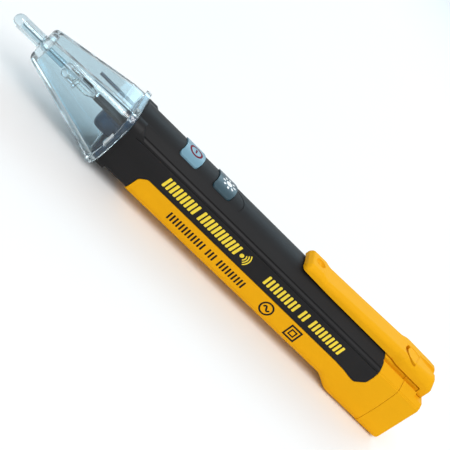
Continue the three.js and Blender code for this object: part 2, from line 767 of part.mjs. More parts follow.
const clearPlastic = finish(0xc9dde4, 0.08, 0, { transparent: true, opacity: 0.4 });
const blackPlastic = finish(0x2b2c2e, 0.55);
const yellowPlastic = finish(0xf0ad1c, 0.45);
const powerPlastic = finish(0x9fb4c4, 0.4);
const torchPlastic = finish(0x4a5b66, 0.4);
const boardLaminate = finish(0x1f5b38, 0.5);
const component = finish(0x1a1a1c, 0.5);
const whiteLens = finish(0xe8eef0, 0.1, 0, { transparent: true, opacity: 0.6 });
const redLens = finish(0xe9d5d2, 0.1, 0, { transparent: true, opacity: 0.6 });
const steel = finish(0xb9bcc0, 0.3, 0.9);
const copper = finish(0xb9793f, 0.35, 0.9);
const batteryJacket = finish(0x4d6a86, 0.35, 0.2);

const boardScrew = (side) =>
  screw(BOARD_SCREW_X, side * BOARD_SCREW_Y, BOARD_LOW - 1.5, BOARD_LOW - GAP, 1.9, 20.3, 0.8);

const PIECES = [
  ["nose_cone", noseCone(), clearPlastic],
  ["antenna_rod", antennaRod(), copper],
  ["torch_led", indicatorLed(-1), whiteLens],
  ["alarm_led", indicatorLed(1), redLens],
  ["led_holder", ledHolder(), component],
  ["upper_housing", upperHousing(), blackPlastic],
  ["lower_housing", lowerHousing(), yellowPlastic],
  ["battery_cap", batteryCap(), yellowPlastic],
  ["pocket_clip", pocketClip(), yellowPlastic],
  ["power_button", pushButton(POWER_X), powerPlastic],
  ["torch_button", pushButton(TORCH_X), torchPlastic],
  ["circuit_board", circuitBoard(), boardLaminate],
  ["power_switch", tactSwitch(POWER_X), component],
  ["torch_switch", tactSwitch(TORCH_X), component],
  ["detector_chip", detectorChip(), component],
  ["supply_capacitor", capacitor(), component],
  ["buzzer", buzzer(), component],
  ["front_battery", battery(BATTERY_FRONT_X), batteryJacket],
  ["rear_battery", battery(BATTERY_FRONT_X + BATTERY_LENGTH + GAP), batteryJacket],
  ["front_contact", frontContact(), steel],
  ["rear_contact", rearContact(), steel],
  ["contact_strip", contactStrip(), steel],
  [
    "housing_screw",
    screw(HOUSING_SCREW_X, 0, BODY_LOW + 0.4, BODY_LOW + 1.7, 1.95, 12, 0.9),
    steel,
  ],
  ["board_screw_left", boardScrew(1), steel],
  ["board_screw_right", boardScrew(-1), steel],
];

const tester = new THREE.Group();
for (const [name, body, material] of PIECES) {
  const mesh = new THREE.Mesh(geometryOf(body), material());
  mesh.name = name;
  tester.add(mesh);
}

export default tester;
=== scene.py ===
"""Looks of a pen-shaped non contact voltage tester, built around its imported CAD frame.

Everything is in metres in the frame's own axes: +X from the sensing tip to the battery cap, +Z up.
Sizes below are written in millimetres and multiplied by MM where the geometry is made.
"""
import math

import bmesh
import bpy
from mathutils import Matrix, Vector


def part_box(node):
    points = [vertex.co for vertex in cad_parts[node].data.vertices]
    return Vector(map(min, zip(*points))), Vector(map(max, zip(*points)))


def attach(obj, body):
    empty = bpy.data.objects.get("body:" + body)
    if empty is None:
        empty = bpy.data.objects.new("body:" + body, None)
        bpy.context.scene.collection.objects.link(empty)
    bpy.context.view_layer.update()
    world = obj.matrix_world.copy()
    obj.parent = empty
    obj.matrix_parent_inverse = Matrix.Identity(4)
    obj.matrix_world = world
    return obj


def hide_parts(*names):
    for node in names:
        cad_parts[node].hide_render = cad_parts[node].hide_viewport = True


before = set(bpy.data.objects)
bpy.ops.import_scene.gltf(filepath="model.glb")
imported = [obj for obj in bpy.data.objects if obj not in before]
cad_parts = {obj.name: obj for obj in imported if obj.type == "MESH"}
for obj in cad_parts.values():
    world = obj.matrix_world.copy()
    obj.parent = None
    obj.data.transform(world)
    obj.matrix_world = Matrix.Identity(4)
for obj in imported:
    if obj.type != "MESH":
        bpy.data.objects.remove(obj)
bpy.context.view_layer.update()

MM = 0.001
TINY = 1e-6
FAR = 60.0  # beyond the body's sides and its housings' front end
SMOOTH_ANGLE = math.radians(32)


# ---- sizes read from the frame
def node_box(name):
    """Lowest and highest corner of a CAD node, in millimetres."""
    low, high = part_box(name)
    return low / MM, high / MM


NOSE_LOW, NOSE_HIGH = node_box("nose_cone")
UPPER_LOW, UPPER_HIGH = node_box("upper_housing")
LOWER_LOW, LOWER_HIGH = node_box("lower_housing")
CAP_LOW, CAP_HIGH = node_box("battery_cap")
CLIP_LOW, CLIP_HIGH = node_box("pocket_clip")
POWER_LOW, POWER_HIGH = node_box("power_button")
TORCH_LOW, TORCH_HIGH = node_box("torch_button")

TIP_X = NOSE_LOW.x
END_X = CAP_HIGH.x
FLANGE_HALF = NOSE_HIGH.y
FLANGE_REAR_X = NOSE_HIGH.x
HALF_WIDTH = LOWER_HIGH.y
CREST = LOWER_HIGH.z

# The body's section: flat underside, upright sides, sloping shoulders and an arched crown
LOW = 3.15
SIDE_TOP = 20.0
YELLOW_SIDE_TOP = 19.5
SHOULDER_HALF = 7.24
SHOULDER_Z = 22.04
CROWN_RISE = CREST - SHOULDER_Z
CROWN_RADIUS = (SHOULDER_HALF**2 + CROWN_RISE**2) / (2 * CROWN_RISE)
WALL = 1.5
GAP = 0.3


# ---- outlines
ALMOST_STRAIGHT = math.radians(179)
EDGE_SHARE = 0.49
MITRE_LIMIT = 0.2


def spread(start, end, steps):
    """Evenly spaced values from start to end."""
    return [start + (end - start) * k / steps for k in range(steps + 1)]


def arc(u, v, radius, start, end, steps):
    """Points of a circular arc about (u, v), angles in degrees."""
    angles = [math.radians(angle) for angle in spread(start, end, steps)]
    return [(u + radius * math.cos(angle), v + radius * math.sin(angle)) for angle in angles]


def fillet(points, radii, steps=5):
    """Rounds the corners of a closed outline; radii gives one radius per point, 0 for a sharp corner."""
    rounded = []
    count = len(points)
    for i, (point, radius) in enumerate(zip(points, radii)):
        here = Vector(point)
        back = Vector(points[i - 1]) - here
        ahead = Vector(points[(i + 1) % count]) - here
        shortest = min(back.length, ahead.length)
        if radius <= 0 or shortest < TINY or back.angle(ahead) > ALMOST_STRAIGHT:
            rounded.append(tuple(here))
            continue
        a, b = back.normalized(), ahead.normalized()
        half = a.angle(b) / 2
        reach = min(radius / math.tan(half), shortest * EDGE_SHARE)
        true_radius = reach * math.tan(half)
        centre = here + (a + b).normalized() * (true_radius / math.sin(half))
        first = here + a * reach - centre
        last = here + b * reach - centre
        sweep = first.angle_signed(last)
        for k in range(steps + 1):
            spoke = first.copy()
            spoke.rotate(Matrix.Rotation(-sweep * k / steps, 2))
            rounded.append(tuple(centre + spoke))
    return rounded


def rounded_rect(half_y, low, high, radius, steps=8, sides=1):
    """Rounded rectangle in (y, z), with the same number of points for any size."""
    centres = [
        (half_y - radius, low + radius, -90), (half_y - radius, high - radius, 0),
        (-half_y + radius, high - radius, 90), (-half_y + radius, low + radius, 180),
    ]
    corners = [arc(y, z, radius, start, start + 90, steps) for y, z, start in centres]
    points = []
    for i, corner in enumerate(corners):
        points += corner
        (y0, z0), (y1, z1) = corner[-1], corners[(i + 1) % 4][0]
        for k in range(1, sides):
            share = k / sides
            points.append((y0 + (y1 - y0) * share, z0 + (z1 - z0) * share))
    return points


# Forms of the edge between side and shoulder, as (inwards, up) from the side's top
SHOULDER_EDGES = {
    "groove": [
        (0, -1.3), (0.35, -1.1), (0.35, -0.9), (0.1, -0.7), (0.2, -0.2),
        (0.5, 0.12), (0.8, 0.38), (0.98, 0.2), (1.2, 0.3), (1.3, 0.76),
    ],
    "crease": [(0, -0.65), (0.08, -0.35), (0.4, -0.15), (0.45, 0.02), (0.5, 0.3)],
    "sharp": [(0, 0)],
}


def body_outline(low=LOW, corner=2.6, edge="round", side_top=SIDE_TOP):
    """The body's (y, z) outline, anticlockwise; the shoulder's edge is round or of a form above."""
    right = arc(HALF_WIDTH - corner, low + corner, corner, -90, 0, 8)
    if edge == "round":
        right += arc(HALF_WIDTH - 0.7, side_top - 0.55, 0.7, 0, 60, 5)
    else:
        right += [(HALF_WIDTH - inwards, side_top + up) for inwards, up in SHOULDER_EDGES[edge]]
    sweep = math.degrees(math.asin(SHOULDER_HALF / CROWN_RADIUS))
    crown = arc(0, CREST - CROWN_RADIUS, CROWN_RADIUS, 90 - sweep, 90 + sweep, 40)
    left = [(-y, z) for y, z in reversed(right)]
    return right + crown + left


def inset(points, distance):
    """Moves each edge of an anticlockwise outline inwards."""
    count = len(points)
    moved = []
    for i, point in enumerate(points):
        before = Vector(point) - Vector(points[i - 1])
        after = Vector(points[(i + 1) % count]) - Vector(point)
        n1 = Vector((before.y, -before.x)).normalized()
        n2 = Vector((after.y, -after.x)).normalized()
        scale = -distance / max(1 + n1.dot(n2), MITRE_LIMIT)
        moved.append((point[0] + scale * (n1.x + n2.x), point[1] + scale * (n1.y + n2.y)))
    return moved


# ---- meshes
WELD = 1e-8
BOOLEAN_WELD = 2e-6


def add_object(name, data):
    obj = bpy.data.objects.new(name, data)
    bpy.context.scene.collection.objects.link(obj)
    return obj


def new_object(name, verts, faces):
    """Adds a mesh whose points are given in millimetres."""
    mesh = bpy.data.meshes.new(name)
    mesh.from_pydata([Vector(v) * MM for v in verts], [], faces)
    obj = add_object(name, mesh)
    bm = bmesh.new()
    bm.from_mesh(mesh)
    bmesh.ops.remove_doubles(bm, verts=bm.verts, dist=WELD)
    bmesh.ops.recalc_face_normals(bm, faces=bm.faces)
    bm.to_mesh(mesh)
    bm.free()
    return obj


def prism(name, points, place):
    """A prism over an outline; place(point, end) gives a corner in space for end 0 or 1."""
    count = len(points)
    verts = [place(p, 0) for p in points] + [place(p, 1) for p in points]
    faces = [tuple(range(count))[::-1], tuple(range(count, 2 * count))]
    for i in range(count):
        j = (i + 1) % count
        faces.append((i, j, count + j, count + i))
    return new_object(name, verts, faces)


def prism_x(name, points, x0, x1):
    return prism(name, points, lambda p, end: (x1 if end else x0, p[0], p[1]))


def prism_y(name, points, y0=-FAR, y1=FAR):
    return prism(name, points, lambda p, end: (p[0], y1 if end else y0, p[1]))


def prism_z(name, points, z0, z1):
    return prism(name, points, lambda p, end: (p[0], p[1], z1 if end else z0))


def block(name, x0, x1, y0, y1, z0, z1):
    return prism_z(name, [(x0, y0), (x1, y0), (x1, y1), (x0, y1)], z0, z1)


def loft(name, rings):
    """Skins rings of (x, y, z) points with one point count, and closes both ends."""
    count = len(rings[0])
    verts = [v for ring in rings for v in ring]
    faces = []
    for r in range(len(rings) - 1):
        for i in range(count):
            a, b = r * count + i, r * count + (i + 1) % count
            faces.append((a, b, b + count, a + count))
    faces.append(tuple(range(count))[::-1])
    faces.append(tuple(range((len(rings) - 1) * count, len(rings) * count)))
    return new_object(name, verts, faces)


def turned(name, profile, origin, axis="X", sides=48):
    """Turns an (along, radius) profile about a line along X or Z; it starts and ends on the line."""
    rings = []
    for along, radius in profile:
        ring = []
        for i in range(sides):
            angle = 2 * math.pi * i / sides
            u, v = radius * math.cos(angle), radius * math.sin(angle)
            point = (along, u, v) if axis == "X" else (u, v, along)
            ring.append(tuple(Vector(point) + Vector(origin)))
        rings.append(ring)
    return loft(name, rings)


def rod(start, end, radius):
    """The profile of a plain round rod, for turned."""
    return [(start, 0), (start, radius), (end, radius), (end, 0)]


def evaluated_mesh(obj):
    """The mesh that an object's modifiers or its curve give."""
    bpy.context.view_layer.update()
    graph = bpy.context.evaluated_depsgraph_get()
    return bpy.data.meshes.new_from_object(obj.evaluated_get(graph))


def applied(obj):
    """Bakes the modifiers into the mesh."""
    mesh = evaluated_mesh(obj)
    obj.modifiers.clear()
    obj.data = mesh
    return obj


def combine(obj, tool, operation="DIFFERENCE"):
    """Cuts, joins or intersects two closed meshes, and removes the second."""
    modifier = obj.modifiers.new("combine", "BOOLEAN")
    modifier.operation = operation
    modifier.solver = "EXACT"
    modifier.object = tool
    applied(obj)
    bpy.data.objects.remove(tool)
    return obj


def cut(obj, *tools):
    for tool in tools:
        combine(obj, tool)
    return obj


def join(obj, *tools):
    for tool in tools:
        combine(obj, tool, "UNION")
    return obj


def keep(obj, tool):
    """Leaves only what lies inside both."""
    return combine(obj, tool, "INTERSECT")


def soften(obj, width, segments=3, angle=30):
    """Rounds the sharp edges a little, as moulded parts have them, and shades the rest smooth."""
    bm = bmesh.new()
    bm.from_mesh(obj.data)
    bmesh.ops.remove_doubles(bm, verts=bm.verts, dist=BOOLEAN_WELD)
    bmesh.ops.dissolve_degenerate(bm, edges=bm.edges, dist=BOOLEAN_WELD)
    bm.to_mesh(obj.data)
    bm.free()
    obj.data.shade_smooth()
    bevel = obj.modifiers.new("soften", "BEVEL")
    bevel.width = width * MM
    bevel.segments = segments
    bevel.limit_method = "ANGLE"
    bevel.angle_limit = math.radians(angle)
    bevel.use_clamp_overlap = True
    bevel.harden_normals = True
    bevel.miter_outer = "MITER_ARC"
    applied(obj)
    smooth(obj)
    return obj


def smooth(obj):
    """Shades an object smooth, with normals that keep its flat faces flat."""
    obj.data.shade_smooth()
    weighted = obj.modifiers.new("weighted", "WEIGHTED_NORMAL")
    weighted.keep_sharp = True
    weighted.weight = 60
    obj.data.set_sharp_from_angle(angle=SMOOTH_ANGLE)
    applied(obj)
    return obj


# ---- materials
def node_tree(name):
    """A new material with its node tree and its shader."""
    material = bpy.data.materials.new(name)
    material.use_nodes = True
    tree = material.node_tree
    shader = tree.nodes["Principled BSDF"]
    return material, tree, shader


def noise(tree, scale, detail=2.0, roughness=0.5, stretch=(1, 1, 1)):
    """Noise in the object's own coordinates."""
    coords = tree.nodes.new("ShaderNodeTexCoord")
    mapping = tree.nodes.new("ShaderNodeMapping")
    mapping.inputs["Scale"].default_value = stretch
    texture = tree.nodes.new("ShaderNodeTexNoise")
    texture.inputs["Scale"].default_value = scale
    texture.inputs["Detail"].default_value = detail
    texture.inputs["Roughness"].default_value = roughness
    tree.links.new(coords.outputs["Object"], mapping.inputs["Vector"])
    tree.links.new(mapping.outputs["Vector"], texture.inputs["Vector"])
    return texture.outputs["Fac"]


def tint(tree, shader, value, *colours):
    """Colours a surface from one colour to another, over the middle of a noise's range."""
    node = tree.nodes.new("ShaderNodeValToRGB")
    for element, colour, position in zip(node.color_ramp.elements, colours, (0.3, 0.7)):
        element.position = position
        element.color = (*colour, 1)
    tree.links.new(value, node.inputs["Fac"])
    tree.links.new(node.outputs["Color"], shader.inputs["Base Color"])


def gloss(tree, shader, value, low, high):
    """Varies a surface's roughness from low to high with a noise."""
    node = tree.nodes.new("ShaderNodeMapRange")
    node.inputs["To Min"].default_value = low
    node.inputs["To Max"].default_value = high
    tree.links.new(value, node.inputs["Value"])
    tree.links.new(node.outputs["Result"], shader.inputs["Roughness"])


def bump(tree, shader, height, strength, distance):
    """Roughens the shader's surface; distance is in metres."""
    node = tree.nodes.new("ShaderNodeBump")
    node.inputs["Strength"].default_value = strength
    node.inputs["Distance"].default_value = distance
    tree.links.new(height, node.inputs["Height"])
    tree.links.new(node.outputs["Normal"], shader.inputs["Normal"])


def shade(colour, factor):
    return tuple(min(1.0, c * factor) for c in colour)


def plastic(name, colour, rough, grain=0.15, grain_size=0.25, mottle=0.06, sheen=0.5):
    """Moulded plastic: fine spark-eroded grain, faint flow mottling and uneven gloss."""
    material, tree, shader = node_tree(name)
    flow = noise(tree, scale=90, detail=4, roughness=0.55, stretch=(0.35, 1, 1))
    tint(tree, shader, flow, shade(colour, 1 - mottle), shade(colour, 1 + mottle))
    smear = noise(tree, scale=260, detail=3, roughness=0.6, stretch=(0.5, 1, 1))
    gloss(tree, shader, smear, rough - 0.07, rough + 0.09)
    fine = noise(tree, scale=1 / (grain_size * MM), roughness=0.6)
    bump(tree, shader, fine, strength=grain, distance=0.04 * MM)
    shader.inputs["Specular IOR Level"].default_value = sheen
    return material


def metal(name, colour, rough, brushed=(1, 1, 1), scale=1500):
    """Metal whose fine lines are drawn out along the axis where brushed is small."""
    material, tree, shader = node_tree(name)
    lines = noise(tree, scale, detail=3, roughness=0.6, stretch=brushed)
    tint(tree, shader, lines, shade(colour, 0.85), shade(colour, 1.1))
    gloss(tree, shader, lines, rough - 0.08, rough + 0.12)
    bump(tree, shader, lines, strength=0.08, distance=0.03 * MM)
    shader.inputs["Metallic"].default_value = 1.0
    return material


def clear(name, colour, rough, ior=1.49, wave=0.05, milk=0.0):
    """Clear moulding with faint flow waves and a slight tint; milk makes it less clear."""
    material, tree, shader = node_tree(name)
    waves = noise(tree, scale=120, detail=3, stretch=(0.4, 1, 1))
    tint(tree, shader, waves, shade(colour, 0.97), shade(colour, 1.03))
    gloss(tree, shader, waves, rough, rough + 0.04)
    bump(tree, shader, waves, strength=wave, distance=0.2 * MM)
    shader.inputs["Transmission Weight"].default_value = 1.0 - milk
    shader.inputs["IOR"].default_value = ior
    return material


BLACK = plastic(
    "black_plastic", (0.0155, 0.0152, 0.016), rough=0.46, grain=0.1, grain_size=0.22, mottle=0.12, sheen=0.12
)
YELLOW = plastic(
    "yellow_plastic", (0.86, 0.415, 0.007), rough=0.45, grain=0.12, grain_size=0.3, mottle=0.035, sheen=0.035
)
NAVY = plastic("boss_black", (0.008, 0.055, 0.12), rough=0.4, sheen=0.2)
COMPONENT = plastic("component_black", (0.02, 0.02, 0.022), rough=0.45, grain=0.1, grain_size=0.2)
BOARD = plastic(
    "board_laminate", (0.02, 0.12, 0.05), rough=0.35, grain=0.2, grain_size=0.6, mottle=0.15, sheen=0.4
)


def button_plastic(name, colour):
    return plastic(name, colour, rough=0.3, grain=0.05, grain_size=0.4, mottle=0.05)


def ink(name, colour, sheen=0.5):
    return plastic(name, colour, rough=0.5, grain=0.05, grain_size=0.2, sheen=sheen)


POWER_PLASTIC = button_plastic("power_button_plastic", (0.155, 0.31, 0.4))
TORCH_PLASTIC = button_plastic("torch_button_plastic", (0.02, 0.058, 0.08))
RED_INK = ink("red_print", (0.16, 0.004, 0.02), 0.12)
WHITE_INK = ink("white_print", (0.85, 0.87, 0.88))
YELLOW_INK = ink("yellow_print", (0.92, 0.70, 0.05), 0.2)
BLACK_INK = ink("black_print", (0.008, 0.007, 0.006), 0.15)
CLEAR = clear("clear_plastic", (0.69, 0.81, 0.855), rough=0.02)
# Pale milky white for the small pieces in the nose's snap slots: a painted highlight that stands in for the
# glint on the slots' edges
SLOT_GLINT_WHITE = clear("painted_glint_white", (0.9, 0.95, 0.98), rough=0.3, milk=0.75)
EPOXY = clear("clear_epoxy", (0.98, 0.98, 0.97), rough=0.01, ior=1.5, wave=0.01)
RED_EPOXY = clear("red_tinted_epoxy", (0.98, 0.86, 0.84), rough=0.01, ior=1.5, wave=0.01)
STEEL = metal("plated_steel", (0.62, 0.62, 0.6), rough=0.25)
DULL_STEEL = metal("dull_steel", (0.5, 0.53, 0.55), rough=0.42)
SOLDER = metal("solder", (0.75, 0.76, 0.78), rough=0.15)
JACKET = metal("battery_jacket", (0.55, 0.5, 0.36), rough=0.3, brushed=(0.2, 1, 1), scale=900)
CAN = metal("capacitor_can", (0.7, 0.71, 0.72), rough=0.22, brushed=(1, 1, 0.05), scale=1200)


def paint(obj, *materials):
    obj.data.materials.clear()
    for material in materials:
        obj.data.materials.append(material)
    return obj


# ---- nose
TIP_RADIUS = 2.25
TIP_Z = 14.66
NOSE_FRONT_X = -77.2
NOSE_FRONT_HALF = 4.8
NOSE_BEND_X = -49.0
NOSE_BEND_HALF = 10.25
NOSE_BEND_Z = 12.55
NOSE_BASE_X = -44.1
NOSE_BASE_HALF = 10.93
NOSE_BASE_Z = 11.9
FLANGE_RADIUS = 6.2
NOSE_WALL = 1.5
NOSE_INNER_X = -74.6
BORE_X = -85.3
BORE_RADIUS = 1.1
GUIDE_RADIUS = 1.45
GUIDE_BORE = 1.2
GUIDE_END_X = -67.9
SADDLE = 0.8
# Snap slots through the nose's sides, each holding a pale piece that paints the glint on the slot's edge as
# a highlight
SLOT_GLINT_X = (-44.6, -43.8)
GLINT_SIDE_Y = (NOSE_BASE_HALF - 1.1, NOSE_BASE_HALF - 0.1)
SLOT_GLINT_Z = (10.2, 14.6)
SLOT_PLAY = 0.1
ANTENNA_Z = TIP_Z + 0.2
ANTENNA_RADIUS = 0.5


def square_ring(x, half, centre_z, radius):
    """A square with round corners across X, whatever its size with one point count."""
    outline = rounded_rect(half, centre_z - half, centre_z + half, radius, steps=10, sides=4)
    return [(x, y, z) for y, z in outline]


def saddle(obj, x_full, x_none):
    """Bends vertices forwards towards the top and bottom of the rim, fading out along X."""
    for vertex in obj.data.vertices:
        x, _, z = vertex.co / MM
        fade = min(max((x - x_none) / (x_full - x_none), 0.0), 1.0)
        rise = (z - FLANGE_HALF) / FLANGE_HALF
        vertex.co.x -= SADDLE * MM * rise * rise * fade


def nose_section(x):
    """Half size, centre and corner radius of the nose's outside at x."""
    radius = 1.5 + 2.6 * (x - NOSE_FRONT_X) / (NOSE_BASE_X - NOSE_FRONT_X)
    if x < NOSE_BEND_X:
        share = (x - NOSE_FRONT_X) / (NOSE_BEND_X - NOSE_FRONT_X)
        start, end = (NOSE_FRONT_HALF, TIP_Z), (NOSE_BEND_HALF, NOSE_BEND_Z)
    else:
        share = (x - NOSE_BEND_X) / (NOSE_BASE_X - NOSE_BEND_X)
        start, end = (NOSE_BEND_HALF, NOSE_BEND_Z), (NOSE_BASE_HALF, NOSE_BASE_Z)
    half, centre = (a + (b - a) * share for a, b in zip(start, end))
    return half, centre, radius


def nose_ring(x, inwards=0.0, radius_change=0.0):
    """The nose's section at x, moved inwards for its inner wall."""
    half, centre, radius = nose_section(min(x, NOSE_BASE_X))
    return square_ring(x, half - inwards, centre, radius - radius_change)


def round_ring(x, radius):
    """A circle about the tip's line; the tiny flats keep its points apart."""
    return square_ring(x, radius, TIP_Z, radius * 0.9999)


def make_nose():
    """One skin: tip, outside, rim, inner walls, guide tube and the bore in the tip."""
    rings = []
    for c, s in arc(0, 0, 1, 178, 90, 10):
        rings.append(round_ring(TIP_X + TIP_RADIUS + TIP_RADIUS * c, TIP_RADIUS * s))
    for dx, dr in ((-0.6, 0.0), (-0.35, 0.07), (-0.15, 0.25), (0, 0.6)):
        rings.append(round_ring(NOSE_FRONT_X + dx, TIP_RADIUS + dr))
    edge = 1.5
    for c, s in arc(0, 0, 1, 90, 0, 8):
        x = NOSE_FRONT_X + edge * (1 - s)
        half, centre, radius = nose_section(x)
        inwards = edge * (1 - c)
        rings.append(square_ring(x, half - inwards, centre, radius - inwards * 0.5))
    outside = spread(NOSE_FRONT_X + edge, NOSE_BEND_X - 0.6, 7)[1:]
    for x in (*outside, NOSE_BEND_X - 0.2, NOSE_BEND_X + 0.3, NOSE_BASE_X - 2, NOSE_BASE_X - 0.4):
        rings.append(nose_ring(x))
    front, rear = NOSE_BASE_X, FLANGE_REAR_X
    for x, half, radius in ((front - 0.12, NOSE_BASE_HALF + 0.08, 4.2), (front, NOSE_BASE_HALF + 0.3, 4.4)):
        rings.append(square_ring(x, half, NOSE_BASE_Z, radius))
    for x, half_less, radius_less in (
        (front, 0.35, 0.3), (front + 0.1, 0.1, 0.05), (front + 0.35, 0, 0),
        (rear - 0.3, 0, 0), (rear - 0.08, 0.08, 0.1), (rear, 0.3, 0.2),
    ):
        rings.append(square_ring(x, FLANGE_HALF - half_less, FLANGE_HALF, FLANGE_RADIUS - radius_less))
    base_room = NOSE_BASE_HALF - NOSE_WALL
    for x, half, radius in ((rear, base_room + 0.2, 3.6), (rear - 0.2, base_room, 3.5)):
        rings.append(square_ring(x, half, NOSE_BASE_Z, radius))
    for x in (NOSE_BASE_X, NOSE_BASE_X - 2, *spread(NOSE_BEND_X, NOSE_INNER_X + 0.5, 7)):
        rings.append(nose_ring(x, NOSE_WALL, 0.9))
    rings.append(nose_ring(NOSE_INNER_X + 0.12, NOSE_WALL + 0.2, 0.9))
    rings.append(nose_ring(NOSE_INNER_X, NOSE_WALL + 0.6, 1.0))
    for x, radius in (
        (NOSE_INNER_X, GUIDE_RADIUS + 0.3), (NOSE_INNER_X + 0.3, GUIDE_RADIUS),
        (GUIDE_END_X - 0.08, GUIDE_RADIUS), (GUIDE_END_X, GUIDE_RADIUS - 0.08),
        (GUIDE_END_X, GUIDE_BORE + 0.05), (GUIDE_END_X - 0.05, GUIDE_BORE),
        (NOSE_INNER_X + 0.4, GUIDE_BORE), (NOSE_INNER_X, BORE_RADIUS), (BORE_X + 1.0, BORE_RADIUS),
    ):
        rings.append(round_ring(x, radius))
    for c, s in arc(0, 0, 1, 20, 88, 5):
        rings.append(round_ring(BORE_X + 1.0 - s, BORE_RADIUS * c))
    nose = loft("nose_shell", rings)
    (x0, x1), (z0, z1) = ((low - SLOT_PLAY, high + SLOT_PLAY) for low, high in (SLOT_GLINT_X, SLOT_GLINT_Z))
    cut(nose, block("slots", x0, x1, -FAR, FAR, z0, z1))
    saddle(nose, NOSE_BASE_X, NOSE_BEND_X)
    smooth(nose)
    return paint(nose, CLEAR)


nose = make_nose()
# Painted highlight: a pale milky piece in each snap slot stands in for the glint on the slot's edges
for name, side in (("nose_slot_glint_a", -1), ("nose_slot_glint_b", 1)):
    y0, y1 = sorted(side * y for y in GLINT_SIDE_Y)
    glint_piece = block(name, *SLOT_GLINT_X, y0, y1, *SLOT_GLINT_Z)
    soften(glint_piece, 0.12)
    paint(glint_piece, SLOT_GLINT_WHITE)
    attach(glint_piece, "tester_body")
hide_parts("nose_cone")
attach(nose, "tester_body")

antenna_low, antenna_high = node_box("antenna_rod")
start, end = antenna_low.x, antenna_high.x
antenna_profile = [
    (start, 0), (start, ANTENNA_RADIUS - 0.15), (start + 0.2, ANTENNA_RADIUS),
    (end - 0.2, ANTENNA_RADIUS), (end, ANTENNA_RADIUS - 0.15), (end, 0),
]
antenna = turned("antenna_wire", antenna_profile, (0, 0, ANTENNA_Z), sides=32)
paint(smooth(antenna), DULL_STEEL)
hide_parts("antenna_rod")
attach(antenna, "tester_body")


# ---- indicator lamps
LED_Z = 14.45
LED_SIDE = 3.0
LED_DOME_X = -67.6
LED_BASE_X = -61.5
LED_RADIUS = 1.5
LED_RIM = LED_RADIUS + 0.4
CUP_SHIFT = 0.25
CUP_PROFILE = [(-65, 0), (-65, 0.25), (-65.5, 0.62), (-65.45, 0.7), (-64.4, 0.5), (-63.4, 0.3), (-63.4, 0)]
LEG_RADIUS = 0.25
LEG_BEND_X = LED_BASE_X + 4.0
LEG_END_X = -54.9
LEGS = ((-1.27, -0.45, 1.3), (1.27, CUP_SHIFT, 2.0))  # shift at the base and at the cup, end's Y
SLEEVE_RADIUS = 0.47


def tube(name, points, radius, resolution=3):
    """A round wire through points, as a mesh."""
    curve = bpy.data.curves.new(name, "CURVE")
    curve.dimensions = "3D"
    curve.bevel_depth = radius * MM
    curve.bevel_resolution = resolution
    curve.use_fill_caps = True
    spline = curve.splines.new("POLY")
    spline.points.add(len(points) - 1)
    for target, point in zip(spline.points, points):
        target.co = (*(Vector(point) * MM), 1)
    source = add_object(name + "_curve", curve)
    mesh = evaluated_mesh(source)
    bpy.data.objects.remove(source)
    return smooth(add_object(name, mesh))


def make_lamp(name, node, side, material, sleeved=False):
    """A clear lamp with its reflector cup and two legs, which may have black sleeves."""
    y = side * LED_SIDE
    profile = [
        *arc(LED_DOME_X + LED_RADIUS, 0, LED_RADIUS, 180, 90, 10),
        (LED_BASE_X - 1.05, LED_RADIUS), (LED_BASE_X - 1.0, LED_RADIUS + 0.05),
        (LED_BASE_X - 1.0, LED_RIM - 0.1), (LED_BASE_X - 0.9, LED_RIM),
        (LED_BASE_X - 0.1, LED_RIM), (LED_BASE_X, LED_RIM - 0.1), (LED_BASE_X, 0),
    ]
    lens = turned(name + "_lens", profile, (0, y, LED_Z))
    paint(smooth(lens), material)
    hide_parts(node)
    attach(lens, "tester_body")
    cup = turned(name + "_cup", CUP_PROFILE, (0, y + side * CUP_SHIFT, LED_Z), sides=32)
    paint(smooth(cup), STEEL)
    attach(cup, "tester_body")
    for index, (shift, start_shift, end_y) in enumerate(LEGS):
        leg_y = side * (LED_SIDE + shift)
        start_y = y + side * start_shift
        path = [
            (-63.5, start_y, LED_Z),
            (-62.3, (start_y + leg_y) / 2, LED_Z),
            (LED_BASE_X - 0.3, leg_y, LED_Z),
            (LEG_BEND_X - 0.4, leg_y, LED_Z),
            (LEG_BEND_X, leg_y * 0.98, LED_Z + 0.05),
            (LEG_END_X, side * end_y, TIP_Z + 0.1),
        ]
        leg = tube(f"{name}_leg_{index + 1}", path, LEG_RADIUS)
        paint(leg, STEEL)
        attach(leg, "tester_body")
        if sleeved:
            stations = ((LED_BASE_X + 0.5, 1), (LEG_BEND_X - 0.4, 1), (LEG_BEND_X + 0.3, 0.94))
            path = [(x, leg_y * share, LED_Z) for x, share in stations]
            sleeve = tube(f"{name}_sleeve_{index + 1}", path, SLEEVE_RADIUS, resolution=4)
            paint(sleeve, COMPONENT)
            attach(sleeve, "tester_body")


make_lamp("torch", "torch_led", -1, EPOXY)
make_lamp("alarm", "alarm_led", 1, RED_EPOXY, sleeved=True)


def make_holder():
    """The tongue under the lamps' legs, with two notches and three beads of solder."""
    low, high = node_box("led_holder")
    plan = [(low.x, low.y), (high.x, low.y), (high.x, high.y), (low.x, high.y)]
    holder = prism_z("holder_tongue", fillet(plan, [0.6, 0, 0, 0.6]), low.z, high.z)
    notch_half, notch_length, notch_depth = 0.28, 1.6, 0.5
    for y in (-1.1, 1.1):
        x0, y0, z0 = low.x - 1, y - notch_half, high.z - notch_depth
        cut(holder, block("notch", x0, low.x + notch_length, y0, y + notch_half, z0, high.z + 1))
    soften(holder, 0.12)
    paint(holder, COMPONENT)
    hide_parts("led_holder")
    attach(holder, "tester_body")
    start, half_length, radius = low.x - 0.35, 0.75, 0.42
    profile = [(start + half_length * (1 + c), radius * s) for c, s in arc(0, 0, 1, 180, 0, 10)]
    for index, y in enumerate((-1.3, -0.3, 1.1)):
        bead = turned(f"solder_{index + 1}", profile, (0, y, high.z + 0.1), sides=20)
        paint(smooth(bead), SOLDER)
        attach(bead, "tester_body")


make_holder()


